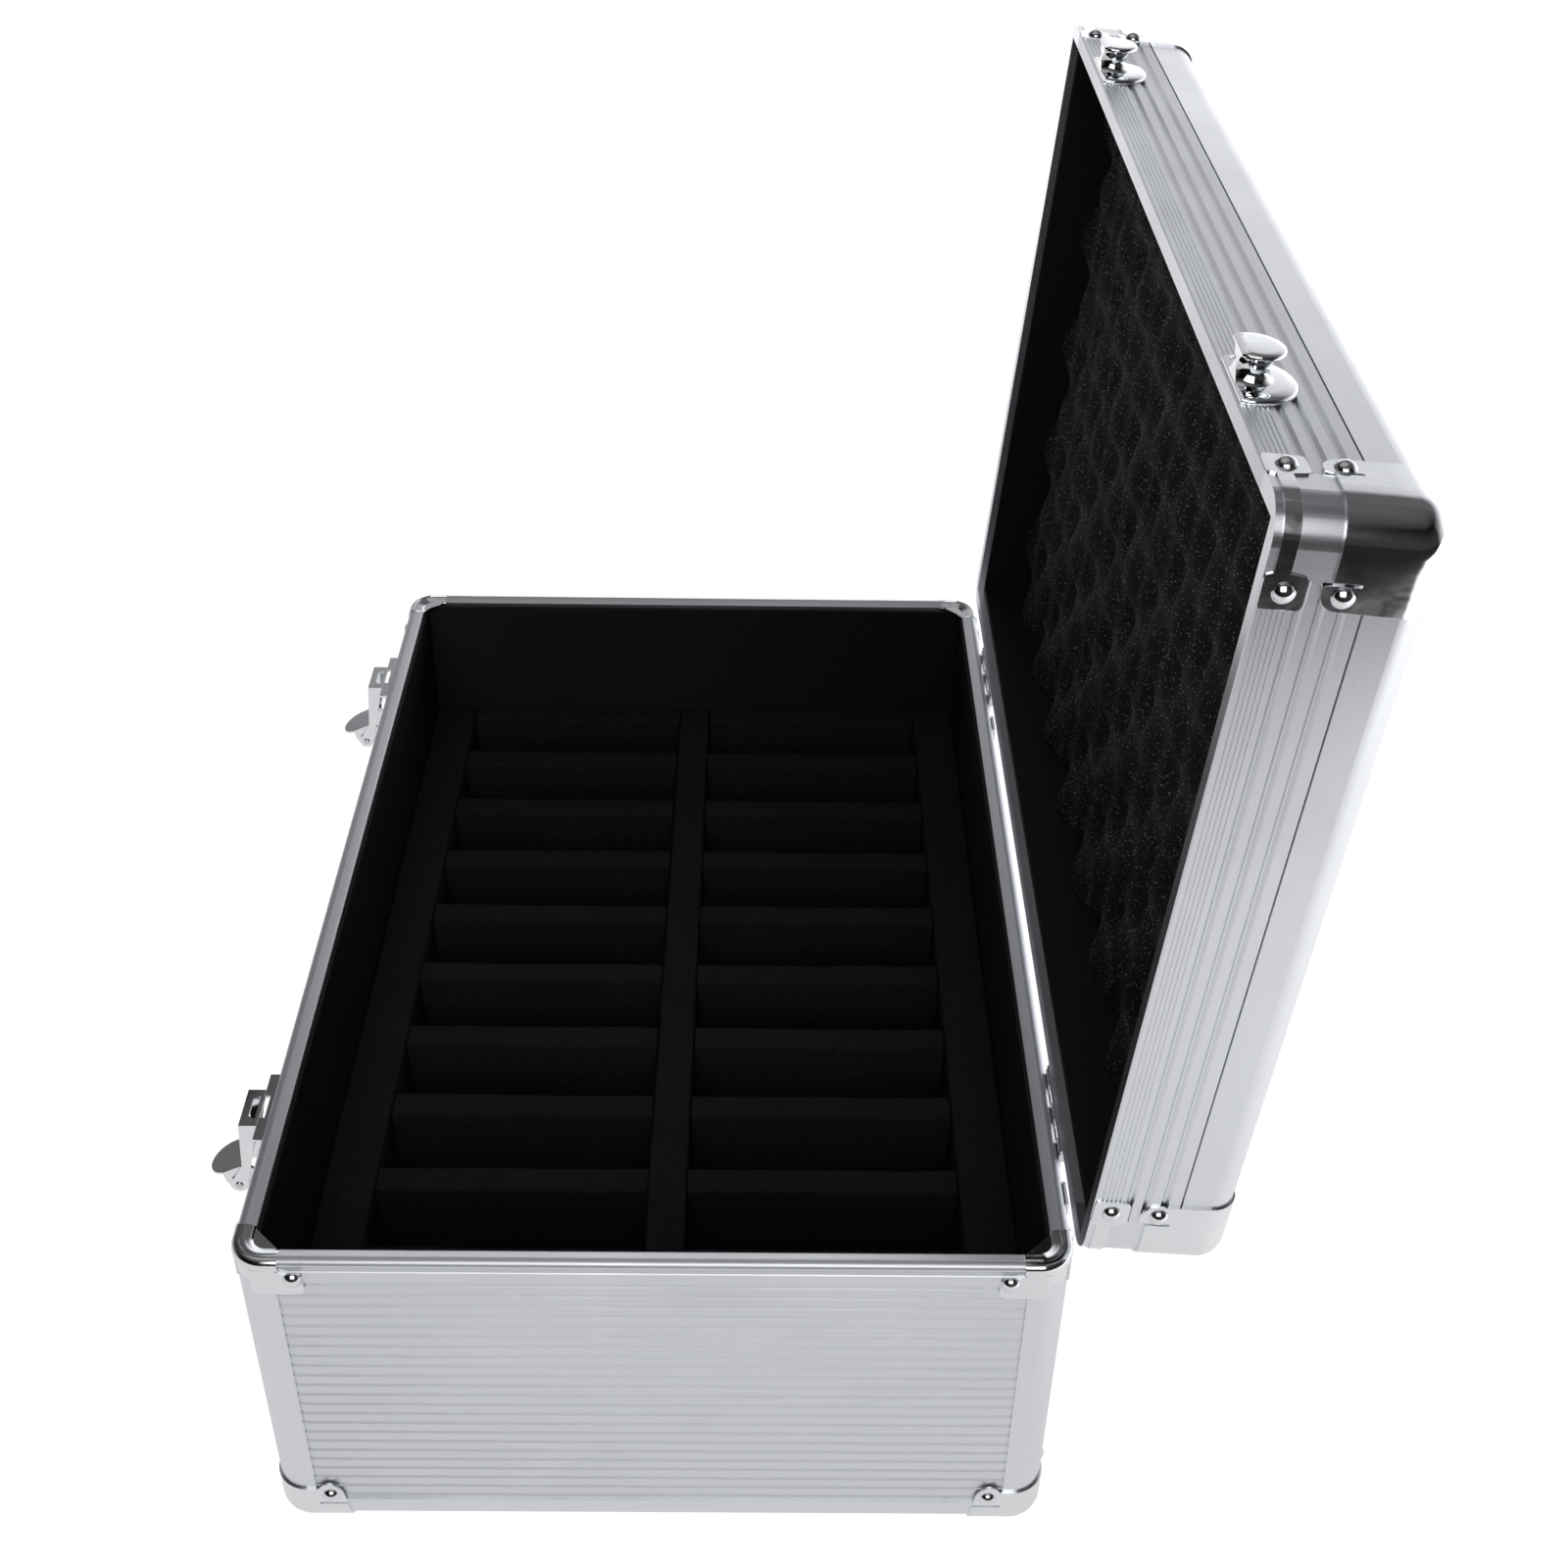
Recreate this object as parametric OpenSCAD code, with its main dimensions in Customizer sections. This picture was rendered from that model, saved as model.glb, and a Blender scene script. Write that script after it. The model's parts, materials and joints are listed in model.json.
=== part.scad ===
// Aluminium attache case: a ribbed-panel case with a foam insert, two draw latches and a hinged lid.
// Frame: +X along the long side, front (latches) faces -Y, hinges at +Y, +Z up.
// Origin: centre of the open case's outer box in X and Y, on the plane that the bottom corners rest on.

/* [Case] */
// Length over the aluminium extrusions
case_l = 416; // [390:2:460]
// Width over the aluminium extrusions
case_w = 272; // [260:2:300]
// Height of the base, from the table to the top of its rim
base_h = 139.6; // [130:0.2:170]
// Depth of the lid
lid_d = 45; // [44:0.5:60]
// Radius of the vertical corners
corner_r = 11; // [10:0.5:13]
// Radius of the top and bottom edges
edge_r = 8; // [7:0.5:9]

/* [Walls] */
// How far the ribbed skins sit behind the extrusions
skin_in = 0.8; // [0.6:0.1:1.2]
// Thickness of a ribbed aluminium skin
skin_t = 1; // [0.8:0.1:1.2]
// Thickness of a plywood wall board
board_t = 4; // [3:0.5:5]
// Thickness of the black wall lining
lining_t = 1.8; // [1:0.2:3]
// Distance between two ribs of the skins
rib_pitch = 5.1; // [4:0.1:8]
// Depth of the groove between two ribs
rib_groove = 0.5; // [0.3:0.1:0.6]

/* [Foam] */
// Slots in one row of the insert
slots_per_row = 10; // [6:1:10]
// Length of a slot, across the case
slot_l = 102; // [90:1:104]
// Width of a slot, along the case
slot_w = 27; // [15:1:30]
// Top of the foam insert above the table
foam_top = 80; // [50:1:110]

/* [Lid hinge] */
// Angle between the closed lid and the open one
lid_open = 94.5; // [90:0.5:110]
// Hinge axis behind the back face
hinge_out = 1.8; // [1.8:0.1:4]
// Hinge axis above the base's rim
hinge_up = 1.6; // [1.2:0.1:3]
// Length of one hinge
hinge_l = 42; // [30:1:60]
// Hinges from the middle of the case
hinge_x = 139; // [100:1:150]

/* [Latches] */
// Latches from the middle of the case
latch_x = 137; // [100:1:150]
// Width of the hasp
hasp_w = 17.6; // [16:0.2:20]

/* [Handle] */
// Length of the handle between its pivots
handle_l = 128; // [110:2:140]
// Reach of the handle from its pivots
handle_reach = 46; // [40:1:60]
// Handle's angle from the lid while it hangs
handle_hang = 4.5; // [0:0.5:6]

/* [Hidden] */
$fn = 48;

front = 0;
right = 1;
back = 2;
left = 3;

board_in = skin_in + skin_t;
wall_in = board_in + board_t;
inner = wall_in + lining_t;
gap = 0.6;
trim_gap = 0.6;
cap_t = 0.8;
trim_t = 0.8;
bottom_z = cap_t;
floor_z = bottom_z + 1.6;
floor_top = floor_z + board_t;
trim_h = 13.4;
flange_h = 8.5;
flange_z = base_h - flange_h;
post_arm = 14.3;
clamp_arm = 16;
ball_arm = 27;

lid_gap = 0.3;
lid_z = base_h + lid_gap;
frame_h = 27;
lid_post_arm = 19.5;
hinge_y = case_w / 2 + hinge_out;
hinge_z = base_h + hinge_up;
knuckle_r = 1.5;
pin_r = 0.7;
fit = 0.06;

function side_len(i) = i % 2 == 0 ? case_l : case_w;
function side_half(i) = i % 2 == 0 ? case_w / 2 : case_l / 2;

// ---------- placing ----------

// Moves a piece from the frame centred on the base to the frame of the open case's outer box.
module at_origin() {
  translate([0, -origin_y, 0])
    children();
}

// Turns local axes so that the given wall lies along +X with its inside towards +Y.
module on_side(i) {
  rotate([0, 0, 90 * i])
    translate([0, -side_half(i), 0])
      children();
}

// Extrudes an outline (depth from the outer face, height) along a wall, centred.
module run(len) {
  rotate([90, 0, 90])
    translate([0, 0, -len / 2])
      linear_extrude(len)
        children();
}

// Repeats a corner piece, drawn at the case's low corner, at all four corners.
module four_corners() {
  for (mx = [0, 1], my = [0, 1])
    mirror([mx, 0, 0])
      mirror([0, my, 0])
        translate([-case_l / 2, -case_w / 2, 0])
          children();
}

// Puts a piece drawn with the lid closed where the open lid holds it.
module lid_pose() {
  translate([0, hinge_y, hinge_z])
    rotate([-lid_open, 0, 0])
      translate([0, -hinge_y, -hinge_z])
        children();
}

// ---------- shared outlines ----------

// The case's plan near one corner, grown by off and cut at arm.
module plan_corner(off, arm) {
  intersection() {
    translate([-off, -off])
      square(arm + off);
    union() {
      translate([corner_r, corner_r])
        circle(corner_r + off);
      translate([corner_r, -off])
        square([arm, arm + off]);
      translate([-off, corner_r])
        square([arm + off, arm]);
    }
  }
}

// An angle of sheet with a rounded outer corner at the origin.
module round_angle(r, a, b, t) {
  difference() {
    union() {
      intersection() {
        translate([r, r])
          circle(r);
        square(r);
      }
      translate([r, 0])
        square([a - r, r]);
      translate([0, r])
        square([r, b - r]);
    }
    translate([r, r])
      circle(r - t);
    translate([r, t])
      square([a, b]);
    translate([t, r])
      square([a, b]);
  }
}

// A ribbed sheet standing on its edge: outline of thickness and height.
module ribbed_outline(h) {
  count = floor((h - 2) / rib_pitch);
  difference() {
    square([skin_t, h]);
    for (k = [1:count])
      translate([0, h - k * rib_pitch])
        polygon([[-0.01, -0.9], [rib_groove, -0.25], [rib_groove, 0.25], [-0.01, 0.9]]);
  }
}

module rivet_head(d, rise) {
  ball_r = (d * d / 4 + rise * rise) / (2 * rise);
  rotate_extrude()
    intersection() {
      translate([0, rise - ball_r])
        circle(ball_r);
      square([d / 2, rise + 1]);
    }
}

// ---------- base: boards and skins ----------

wall_low = 5.4;
board_top = base_h - 1.6;

module wall_board(i) {
  at_origin()
    color("burlywood")
      on_side(i)
        translate([corner_r - side_len(i) / 2, board_in, wall_low])
          cube([side_len(i) - 2 * corner_r, board_t, board_top - wall_low]);
}

module floor_board() {
  at_origin()
    color("burlywood")
      translate([wall_in - case_l / 2, wall_in - case_w / 2, floor_z])
        cube([case_l - 2 * wall_in, case_w - 2 * wall_in, board_t]);
}

module front_board() wall_board(front);
module back_board() wall_board(back);
module right_board() wall_board(right);
module left_board() wall_board(left);

module bottom_skin() {
  inset = 10;
  at_origin()
    color("silver")
      translate([inset - case_l / 2, inset - case_w / 2, floor_z - trim_t])
        cube([case_l - 2 * inset, case_w - 2 * inset, trim_t]);
}

module wall_skin(i) {
  at_origin()
    color("gainsboro")
      on_side(i)
        translate([0, skin_in, bottom_z + edge_r])
          run(side_len(i) - 2 * corner_r)
            ribbed_outline(board_top - bottom_z - edge_r);
}

module front_skin() wall_skin(front);
module back_skin() wall_skin(back);
module right_skin() wall_skin(right);
module left_skin() wall_skin(left);

// ---------- base: extrusions ----------

// Top extrusion: an outside flange over the skin, a grooved top and a sloping inner lip.
module rim_outline() {
  lip = wall_in + 0.6;
  polygon([
    [0, -flange_h], [0, -4.5], [0.15, -4.3], [0, -4.1], [0, -0.5], [0.5, 0],
    [0.9, 0], [1.1, -0.4], [1.3, 0], [3.5, 0], [lip, -1.2], [lip, -3],
    [wall_in, -3], [wall_in, -1.6], [skin_in, -1.6], [skin_in, -flange_h]
  ]);
}

module rim(i) {
  at_origin()
    color("lightgray")
      on_side(i)
        translate([0, 0, base_h])
          run(side_len(i) - 2 * clamp_arm)
            rim_outline();
}

module front_rim() rim(front);
module back_rim() rim(back);
module right_rim() rim(right);
module left_rim() rim(left);

module bottom_trim(i) {
  at_origin()
    color("lightgray")
      on_side(i)
        translate([0, 0, bottom_z])
          run(side_len(i) - 2 * corner_r)
            round_angle(edge_r, corner_r - trim_gap, trim_h - bottom_z, trim_t);
}

module front_bottom_trim() bottom_trim(front);
module back_bottom_trim() bottom_trim(back);
module right_bottom_trim() bottom_trim(right);
module left_bottom_trim() bottom_trim(left);

// Corner extrusion: a solid heart that the boards butt against, and two flanges over the skins.
module post_outline() {
  difference() {
    plan_corner(0, post_arm);
    translate([corner_r, skin_in])
      square(20);
    translate([skin_in, corner_r])
      square(20);
    translate([wall_in, wall_in])
      square(20);
  }
}

module base_corner_posts() {
  at_origin()
    color("lightgray")
      four_corners()
        translate([0, 0, trim_h])
          linear_extrude(flange_z - trim_h)
            post_outline();
}

// ---------- base: corner hardware ----------

clamp_proud = 0.5;
clamp_step = 4.2;
tab_from = 11.1;
tab_to = 23.6;
tab_t = 0.6;
tab_drop = 15;

// Plan of the clamp below the boards' tops, clear of boards and skins.
module clamp_skirt(off) {
  difference() {
    plan_corner(off, clamp_arm);
    translate([corner_r, skin_in])
      square(20);
    translate([skin_in, corner_r])
      square(20);
    translate([wall_in, wall_in])
      square(20);
  }
}

module both_faces() {
  children();
  mirror([1, -1, 0])
    children();
}

module base_rim_clamps() {
  at_origin()
    color("whitesmoke")
      four_corners() {
        translate([0, 0, flange_z])
          linear_extrude(board_top - flange_z)
            clamp_skirt(0);
        translate([0, 0, base_h - clamp_step])
          linear_extrude(board_top - base_h + clamp_step)
            clamp_skirt(clamp_proud);
        translate([0, 0, board_top])
          linear_extrude(base_h + 0.2 - board_top)
            difference() {
              plan_corner(clamp_proud, clamp_arm);
              translate([wall_in + 0.6, wall_in + 0.6])
                square(20);
            }
        both_faces()
          translate([tab_from, -tab_t, base_h - tab_drop])
            cube([tab_to - tab_from, tab_t, tab_drop - clamp_step]);
      }
}

// Pressed-steel shell over a three-way corner, drawn with the case's edge at the origin.
module ball_corner(reach, height) {
  r = edge_r + cap_t;
  translate([corner_r, corner_r, 0])
    rotate([0, 0, 180])
      rotate_extrude(angle = 90)
        intersection() {
          translate([corner_r, 0])
            mirror([1, 0])
              translate([-cap_t, 0])
                round_angle(r, reach, height, cap_t);
          square([corner_r + cap_t, height]);
        }
  both_faces()
    translate([corner_r, -cap_t, 0])
      rotate([90, 0, 90])
        linear_extrude(reach - corner_r)
          round_angle(r, corner_r + cap_t, height, cap_t);
  translate([corner_r, corner_r, 0])
    cube([reach - corner_r, reach - corner_r, cap_t]);
}

module base_ball_corners() {
  at_origin()
    color("whitesmoke")
      four_corners()
        ball_corner(ball_arm, 20);
}

rivet_d = 5.8;
rivet_rise = 1.7;

// Rivets on both faces of every corner, at a distance from the edge and a height.
module corner_rivets(along, height, proud) {
  four_corners()
    both_faces()
      translate([along, -proud, height])
        rotate([90, 0, 0])
          rivet_head(rivet_d, rivet_rise);
}

module base_rivets() {
  at_origin()
    color("silver") {
      corner_rivets(20.3, base_h - 7.9, tab_t);
      corner_rivets(19.2, 15.6, cap_t);
    }
}

// ---------- base: inside ----------

lining_top = base_h - 3.2;

module base_lining() {
  at_origin()
    color("#1c1c1e")
      difference() {
        translate([wall_in - case_l / 2, wall_in - case_w / 2, floor_top])
          cube([case_l - 2 * wall_in, case_w - 2 * wall_in, lining_top - floor_top]);
        translate([inner - case_l / 2, inner - case_w / 2, floor_top + 1])
          cube([case_l - 2 * inner, case_w - 2 * inner, base_h]);
      }
}

foam_l = case_l - 2 * inner - 1;
foam_w = case_w - 2 * inner - 1;
foam_low = floor_top + 1;
slot_floor = 20;
foam_z = foam_top - slot_floor;
foam_pitch = (foam_l - 12) / slots_per_row;
row_gap = 14;
front_gap = (foam_w - row_gap - 2 * slot_l) / 2;

module foam_strip(y_low, width) {
  at_origin()
    color("#202022")
      translate([-foam_l / 2, y_low, slot_floor])
        cube([foam_l, width, foam_z]);
}

module foam_floor_pad() {
  at_origin()
    color("#202022")
      translate([-foam_l / 2, -foam_w / 2, foam_low])
        cube([foam_l, foam_w, slot_floor - foam_low]);
}

module foam_front_strip() foam_strip(-foam_w / 2, front_gap);
module foam_centre_strip() foam_strip(-row_gap / 2, row_gap);
module foam_back_strip() foam_strip(foam_w / 2 - front_gap, front_gap);

module foam_dividers() {
  wall = foam_pitch - slot_w;
  at_origin()
    color("#202022")
      for (row = [-1, 1], k = [0:slots_per_row]) {
        x_mid = (k - slots_per_row / 2) * foam_pitch;
        x_low = k == 0 ? -foam_l / 2 : x_mid - wall / 2;
        x_high = k == slots_per_row ? foam_l / 2 : x_mid + wall / 2;
        y_mid = row * (row_gap + slot_l) / 2;
        translate([x_low, y_mid - slot_l / 2, slot_floor])
          cube([x_high - x_low, slot_l, foam_z]);
      }
}

// ---------- lid hinge ----------

knuckles = 5;
knuckle_l = hinge_l / knuckles;

// Knuckles first, first + 2, ... of one hinge, with the pin's bore.
module knuckle_row(first) {
  for (k = [first:2:knuckles - 1])
    translate([k * knuckle_l - hinge_l / 2 + 0.15, hinge_y, hinge_z])
      rotate([0, 90, 0])
        difference() {
          cylinder(r = knuckle_r, h = knuckle_l - 0.3);
          translate([0, 0, -1])
            cylinder(r = pin_r + fit, h = knuckle_l + 2);
        }
}

module leaf_links(first, z_low, z_high) {
  for (k = [first:2:knuckles - 1])
    translate([k * knuckle_l - hinge_l / 2 + 0.15, case_w / 2, z_low])
      difference() {
        cube([knuckle_l - 0.3, hinge_out + 0.6, z_high - z_low]);
        translate([-1, hinge_out, hinge_z - z_low])
          rotate([0, 90, 0])
            cylinder(r = pin_r + fit, h = knuckle_l + 2);
      }
}

module hinge_base_leaves() {
  at_origin()
    color("silver")
      for (x = [-hinge_x, hinge_x])
        translate([x, 0, 0]) {
          knuckle_row(0);
          leaf_links(0, hinge_z - 4.2, hinge_z - 0.9);
          translate([-hinge_l / 2, case_w / 2, flange_z])
            cube([hinge_l, 0.8, flange_h - 2]);
        }
}

module hinge_lid_leaves() {
  at_origin()
    color("silver")
      lid_pose()
        for (x = [-hinge_x, hinge_x])
          translate([x, 0, 0]) {
            knuckle_row(1);
            leaf_links(1, hinge_z + 0.9, hinge_z + 3.6);
            translate([-hinge_l / 2, case_w / 2, hinge_z + 3])
              cube([hinge_l, 0.8, 6]);
          }
}

module hinge_pins() {
  at_origin()
    color("dimgray")
      for (x = [-hinge_x, hinge_x])
        translate([x - hinge_l / 2, hinge_y, hinge_z])
          rotate([0, 90, 0])
            cylinder(r = pin_r, h = hinge_l);
}

stop_from_hinge = 31;

module lid_stops() {
  at_origin()
    color("silver")
      for (x = [-hinge_x, hinge_x])
        translate([x + stop_from_hinge, case_w / 2, base_h - 7])
          cube([10, 1.2, 6]);
}

// ---------- latches ----------

// Lever pivot and hasp pivot, as places in the cross-section (Y, Z).
lever_y = -case_w / 2 - 6.2;
lever_z = 107;
hasp_y = lever_y - 7.3;
hasp_z = lever_z + 0.5;
cheek_x = hasp_w / 2;
cheek_t = 0.9;
lever_x = cheek_x - cheek_t - 0.4;
ear_x = lever_x - 2.3;
lever_pin_r = 1.4;
hasp_pin_r = 1.3;
plate_t = 1;
hasp_top = base_h - 2.6;

// Extrudes an outline in (Y, Z) across the case, from x to x + t.
module profile_at(x, t) {
  translate([x, 0, 0])
    rotate([90, 0, 90])
      linear_extrude(t)
        children();
}

module latch_plate(x) {
  wall_y = -case_w / 2;
  plate_w = 32;
  at_origin()
    color("whitesmoke")
      translate([x, 0, 0]) {
        translate([-plate_w / 2, wall_y - plate_t, 91])
          cube([plate_w, plate_t, base_h - 2 - 91]);
        difference() {
          translate([-plate_w / 2, wall_y - 3.4, base_h - 3])
            cube([plate_w, 3.4, 1]);
          translate([-5.2, wall_y - 2.9, base_h - 4])
            cube([10.4, 1.6, 3]);
        }
        for (side = [-1, 1])
          profile_at(side > 0 ? ear_x : -ear_x - plate_t, plate_t)
            difference() {
              union() {
                translate([lever_y, lever_z])
                  circle(4);
                translate([lever_y, lever_z - 4])
                  square([wall_y - lever_y, 8]);
              }
              translate([lever_y, lever_z])
                circle(lever_pin_r + fit);
            }
      }
}

module latch_plate_right() latch_plate(latch_x);
module latch_plate_left() latch_plate(-latch_x);

module cross_pin(y, z, r, half) {
  translate([-half, y, z])
    rotate([0, 90, 0])
      cylinder(r = r, h = 2 * half);
}

module lever_pins() {
  at_origin()
    color("silver")
      for (x = [-latch_x, latch_x])
        translate([x, 0, 0])
          cross_pin(lever_y, lever_z, lever_pin_r, lever_x + 0.1);
}

// Side view of the lever's cup: a rounded tip that droops outwards.
lever_back = [lever_y - 3.6, lever_z + 9.6];
lever_tip = [lever_y - 18.6, lever_z + 2.4];

module lever(x) {
  at_origin()
    color("gainsboro")
      translate([x, 0, 0]) {
        for (side = [-1, 1])
          profile_at(side > 0 ? lever_x - 1 : -lever_x, 1)
            difference() {
              union() {
                translate([lever_y, lever_z])
                  circle(3.2);
                polygon([
                  [lever_y - 3, lever_z - 1.2], [lever_y + 2.6, lever_z + 2],
                  lever_back, [lever_y - 13, lever_z + 5], [lever_y - 12, lever_z + 0.6],
                  [lever_y - 9, lever_z - 3]
                ]);
              }
              for (p = [[lever_y, lever_z, lever_pin_r], [hasp_y, hasp_z, hasp_pin_r]])
                translate([p.x, p.y])
                  circle(p.z + fit);
            }
        intersection() {
          profile_at(-lever_x, 2 * lever_x)
            polygon([
              lever_back, lever_tip, lever_tip - [0.4, 1], lever_back - [0.4, 1.1]
            ]);
          translate([0, lever_tip.x + lever_x, lever_z - 20])
            union() {
              cylinder(r = lever_x, h = 40);
              translate([-lever_x, 0, 0])
                cube([2 * lever_x, 40, 40]);
            }
        }
      }
}

module hasp_pin(x) {
  at_origin()
    color("silver")
      translate([x, 0, 0])
        cross_pin(hasp_y, hasp_z, hasp_pin_r, cheek_x + 0.6);
}

// Cheeks up from the pin, joined by a top plate with a window.
module hasp(x) {
  top_in = -case_w / 2 - 3.6;
  top_out = top_in - 6.2;
  at_origin()
    color("gainsboro")
      translate([x, 0, 0]) {
        for (side = [-1, 1])
          profile_at(side > 0 ? cheek_x - cheek_t : -cheek_x, cheek_t)
            difference() {
              union() {
                translate([hasp_y, hasp_z])
                  circle(3.2);
                polygon([
                  [hasp_y - 3.2, hasp_z], [hasp_y + 3.2, hasp_z],
                  [hasp_y + 5.5, hasp_z + 10], [top_in, hasp_top],
                  [top_out, hasp_top], [top_out - 1.6, hasp_top - 20]
                ]);
              }
              translate([hasp_y, hasp_z])
                circle(hasp_pin_r + fit);
            }
        difference() {
          translate([-cheek_x, top_out, hasp_top - 1])
            cube([hasp_w, top_in - top_out, 1]);
          translate([0, 0, hasp_top - 2])
            linear_extrude(3)
              polygon([
                [-4, top_out + 2.6], [4, top_out + 2.6],
                [5.4, top_out + 5], [-5.4, top_out + 5]
              ]);
        }
      }
}

module lever_right() lever(latch_x);
module lever_left() lever(-latch_x);
module hasp_pin_right() hasp_pin(latch_x);
module hasp_pin_left() hasp_pin(-latch_x);
module hasp_right() hasp(latch_x);
module hasp_left() hasp(-latch_x);

// ---------- lid ----------

lid_board_low = 38.8;
ledge_t = 1.2;
skin_rise = lid_board_low + board_t;

// Hollow frame extrusion with fluted outer face, a tongue behind the edge trim and a ledge.
module lid_frame_outline() {
  flutes = [11, 16.4, 22];
  fine = [2.2, 3.6, 5, 6.4, 7.8];
  difference() {
    polygon([
      [0.5, 0], [0, 0.5], [0, frame_h], [1.4, frame_h], [1.4, 37], [3.2, lid_board_low],
      [12, lid_board_low], [12, lid_board_low - ledge_t], [wall_in, lid_board_low - ledge_t],
      [wall_in, 0]
    ]);
    translate([2, 1.4])
      square([wall_in - 3.4, 12]);
    translate([2, 14.8])
      square([wall_in - 3.4, 20]);
    for (v = flutes)
      translate([0, v])
        polygon([[-0.01, -1.3], [0.9, -0.3], [0.9, 0.3], [-0.01, 1.3]]);
    for (v = fine)
      translate([0, v])
        polygon([[-0.01, -0.3], [0.25, 0], [-0.01, 0.3]]);
  }
}

module lid_frame(i) {
  at_origin()
    color("lightgray")
      lid_pose()
        on_side(i)
          translate([0, 0, lid_z])
            run(side_len(i) - 2 * lid_post_arm)
              lid_frame_outline();
}

module lid_front_frame() lid_frame(front);
module lid_back_frame() lid_frame(back);
module lid_right_frame() lid_frame(right);
module lid_left_frame() lid_frame(left);

module lid_corner_posts() {
  at_origin()
    color("lightgray")
      lid_pose()
        four_corners()
          translate([0, 0, lid_z])
            linear_extrude(frame_h)
              difference() {
                plan_corner(0, lid_post_arm);
                translate([wall_in, wall_in])
                  square(20);
              }
}

module lid_edge_trims() {
  at_origin()
    color("lightgray")
      lid_pose()
        for (i = [front, right, back, left])
          on_side(i)
            translate([0, 0, lid_z + lid_d])
              mirror([0, 0, 1])
                run(side_len(i) - 2 * corner_r)
                  round_angle(edge_r, corner_r - trim_gap, lid_d - frame_h - gap, trim_t);
}

module lid_top_board() {
  inset = 6.6;
  at_origin()
    color("burlywood")
      lid_pose()
        translate([inset - case_l / 2, inset - case_w / 2, lid_z + lid_board_low])
          cube([case_l - 2 * inset, case_w - 2 * inset, board_t]);
}

module lid_top_skin() {
  inset = 9;
  width = case_w - 2 * inset;
  at_origin()
    color("gainsboro")
      lid_pose()
        translate([0, -width / 2, lid_z + skin_rise])
          lid_skin_sheet(case_l - 2 * inset, width);
}

// Flat sheet with ribs along X on its upper face, low corner at (-len / 2, 0, 0).
module lid_skin_sheet(len, width) {
  count = floor((width - 2) / rib_pitch);
  rotate([90, 0, 90])
    translate([0, 0, -len / 2])
      linear_extrude(len)
        difference() {
          square([width, skin_t]);
          for (k = [1:count])
            translate([k * rib_pitch, skin_t])
              polygon([[-0.9, 0.01], [-0.25, -rib_groove], [0.25, -rib_groove], [0.9, 0.01]]);
        }
}

module lid_rim_clamps() {
  at_origin()
    color("whitesmoke")
      lid_pose()
        four_corners()
          translate([0, 0, lid_z + 0.2])
            linear_extrude(11.3)
              difference() {
                plan_corner(tab_t, 28);
                plan_corner(0, 40);
              }
}

module lid_ball_corners() {
  at_origin()
    color("whitesmoke")
      lid_pose()
        four_corners()
          translate([0, 0, lid_z + lid_d + cap_t])
            mirror([0, 0, 1])
              ball_corner(ball_arm, 29);
}

module lid_rivets() {
  at_origin()
    color("silver")
      lid_pose() {
        corner_rivets(23, lid_z + 6, tab_t);
        corner_rivets(23, lid_z + 21, cap_t);
      }
}

module lid_lining() {
  low = 3;
  high = lid_board_low - ledge_t;
  at_origin()
    color("#1c1c1e")
      lid_pose()
        difference() {
          translate([wall_in - case_l / 2, wall_in - case_w / 2, lid_z + low])
            cube([case_l - 2 * wall_in, case_w - 2 * wall_in, high - low]);
          translate([inner - case_l / 2, inner - case_w / 2, lid_z])
            cube([case_l - 2 * inner, case_w - 2 * inner, lid_d]);
        }
}

pad_t = 20;

module eggcrate_pad() {
  inset = inner + 0.5;
  at_origin()
    color("#26262a")
      lid_pose()
        translate([inset - case_l / 2, inset - case_w / 2, lid_z + lid_board_low - ledge_t - pad_t])
          cube([case_l - 2 * inset, case_w - 2 * inset, pad_t]);
}

// Cast button on the lid's front: a disc cut straight at the rim, a waisted neck and a D-shaped head.
module strikes() {
  disc_r = 14.4;
  disc_low = 0.7;
  disc_mid = 4.6;
  head_r = 8.2;
  head_mid = 5.4;
  neck_h = 8.2;
  at_origin()
    color("whitesmoke")
      lid_pose()
        for (x = [-latch_x, latch_x])
          translate([x, -case_w / 2, lid_z])
            rotate([90, 0, 0]) {
              intersection() {
                translate([0, disc_mid, 0])
                  cylinder(r = disc_r, h = 1.6);
                translate([-disc_r, disc_low, -1])
                  cube([2 * disc_r, 30, 4]);
              }
              intersection() {
                translate([0, head_mid, 1.6])
                  rotate_extrude()
                    polygon([
                      [0, 0], [7, 0], [5.6, 1.8], [5, 4], [5.7, 6.6], [7, neck_h], [0, neck_h]
                    ]);
                translate([-head_r, disc_low, 0])
                  cube([2 * head_r, 30, 20]);
              }
              intersection() {
                translate([0, head_mid, 1.6 + neck_h])
                  cylinder(r = head_r, h = 1.4);
                translate([-head_r, 0.3, 0])
                  cube([2 * head_r, 30, 20]);
              }
            }
}

// ---------- handle on the lid's top ----------

handle_y = -22;
bracket_x = handle_l / 2;
handle_axis_z = lid_z + lid_d + 7;
pivot_r = 2.5;
grip_r = 6;
grip_rise = 0.6;
handle_axis_back = hinge_y + (handle_y - hinge_y) * cos(lid_open)
  + (handle_axis_z - hinge_z) * sin(lid_open);
back_reach = handle_axis_back + grip_rise + grip_r;
front_reach = -lever_tip.x;
origin_y = (back_reach - front_reach) / 2;

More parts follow.
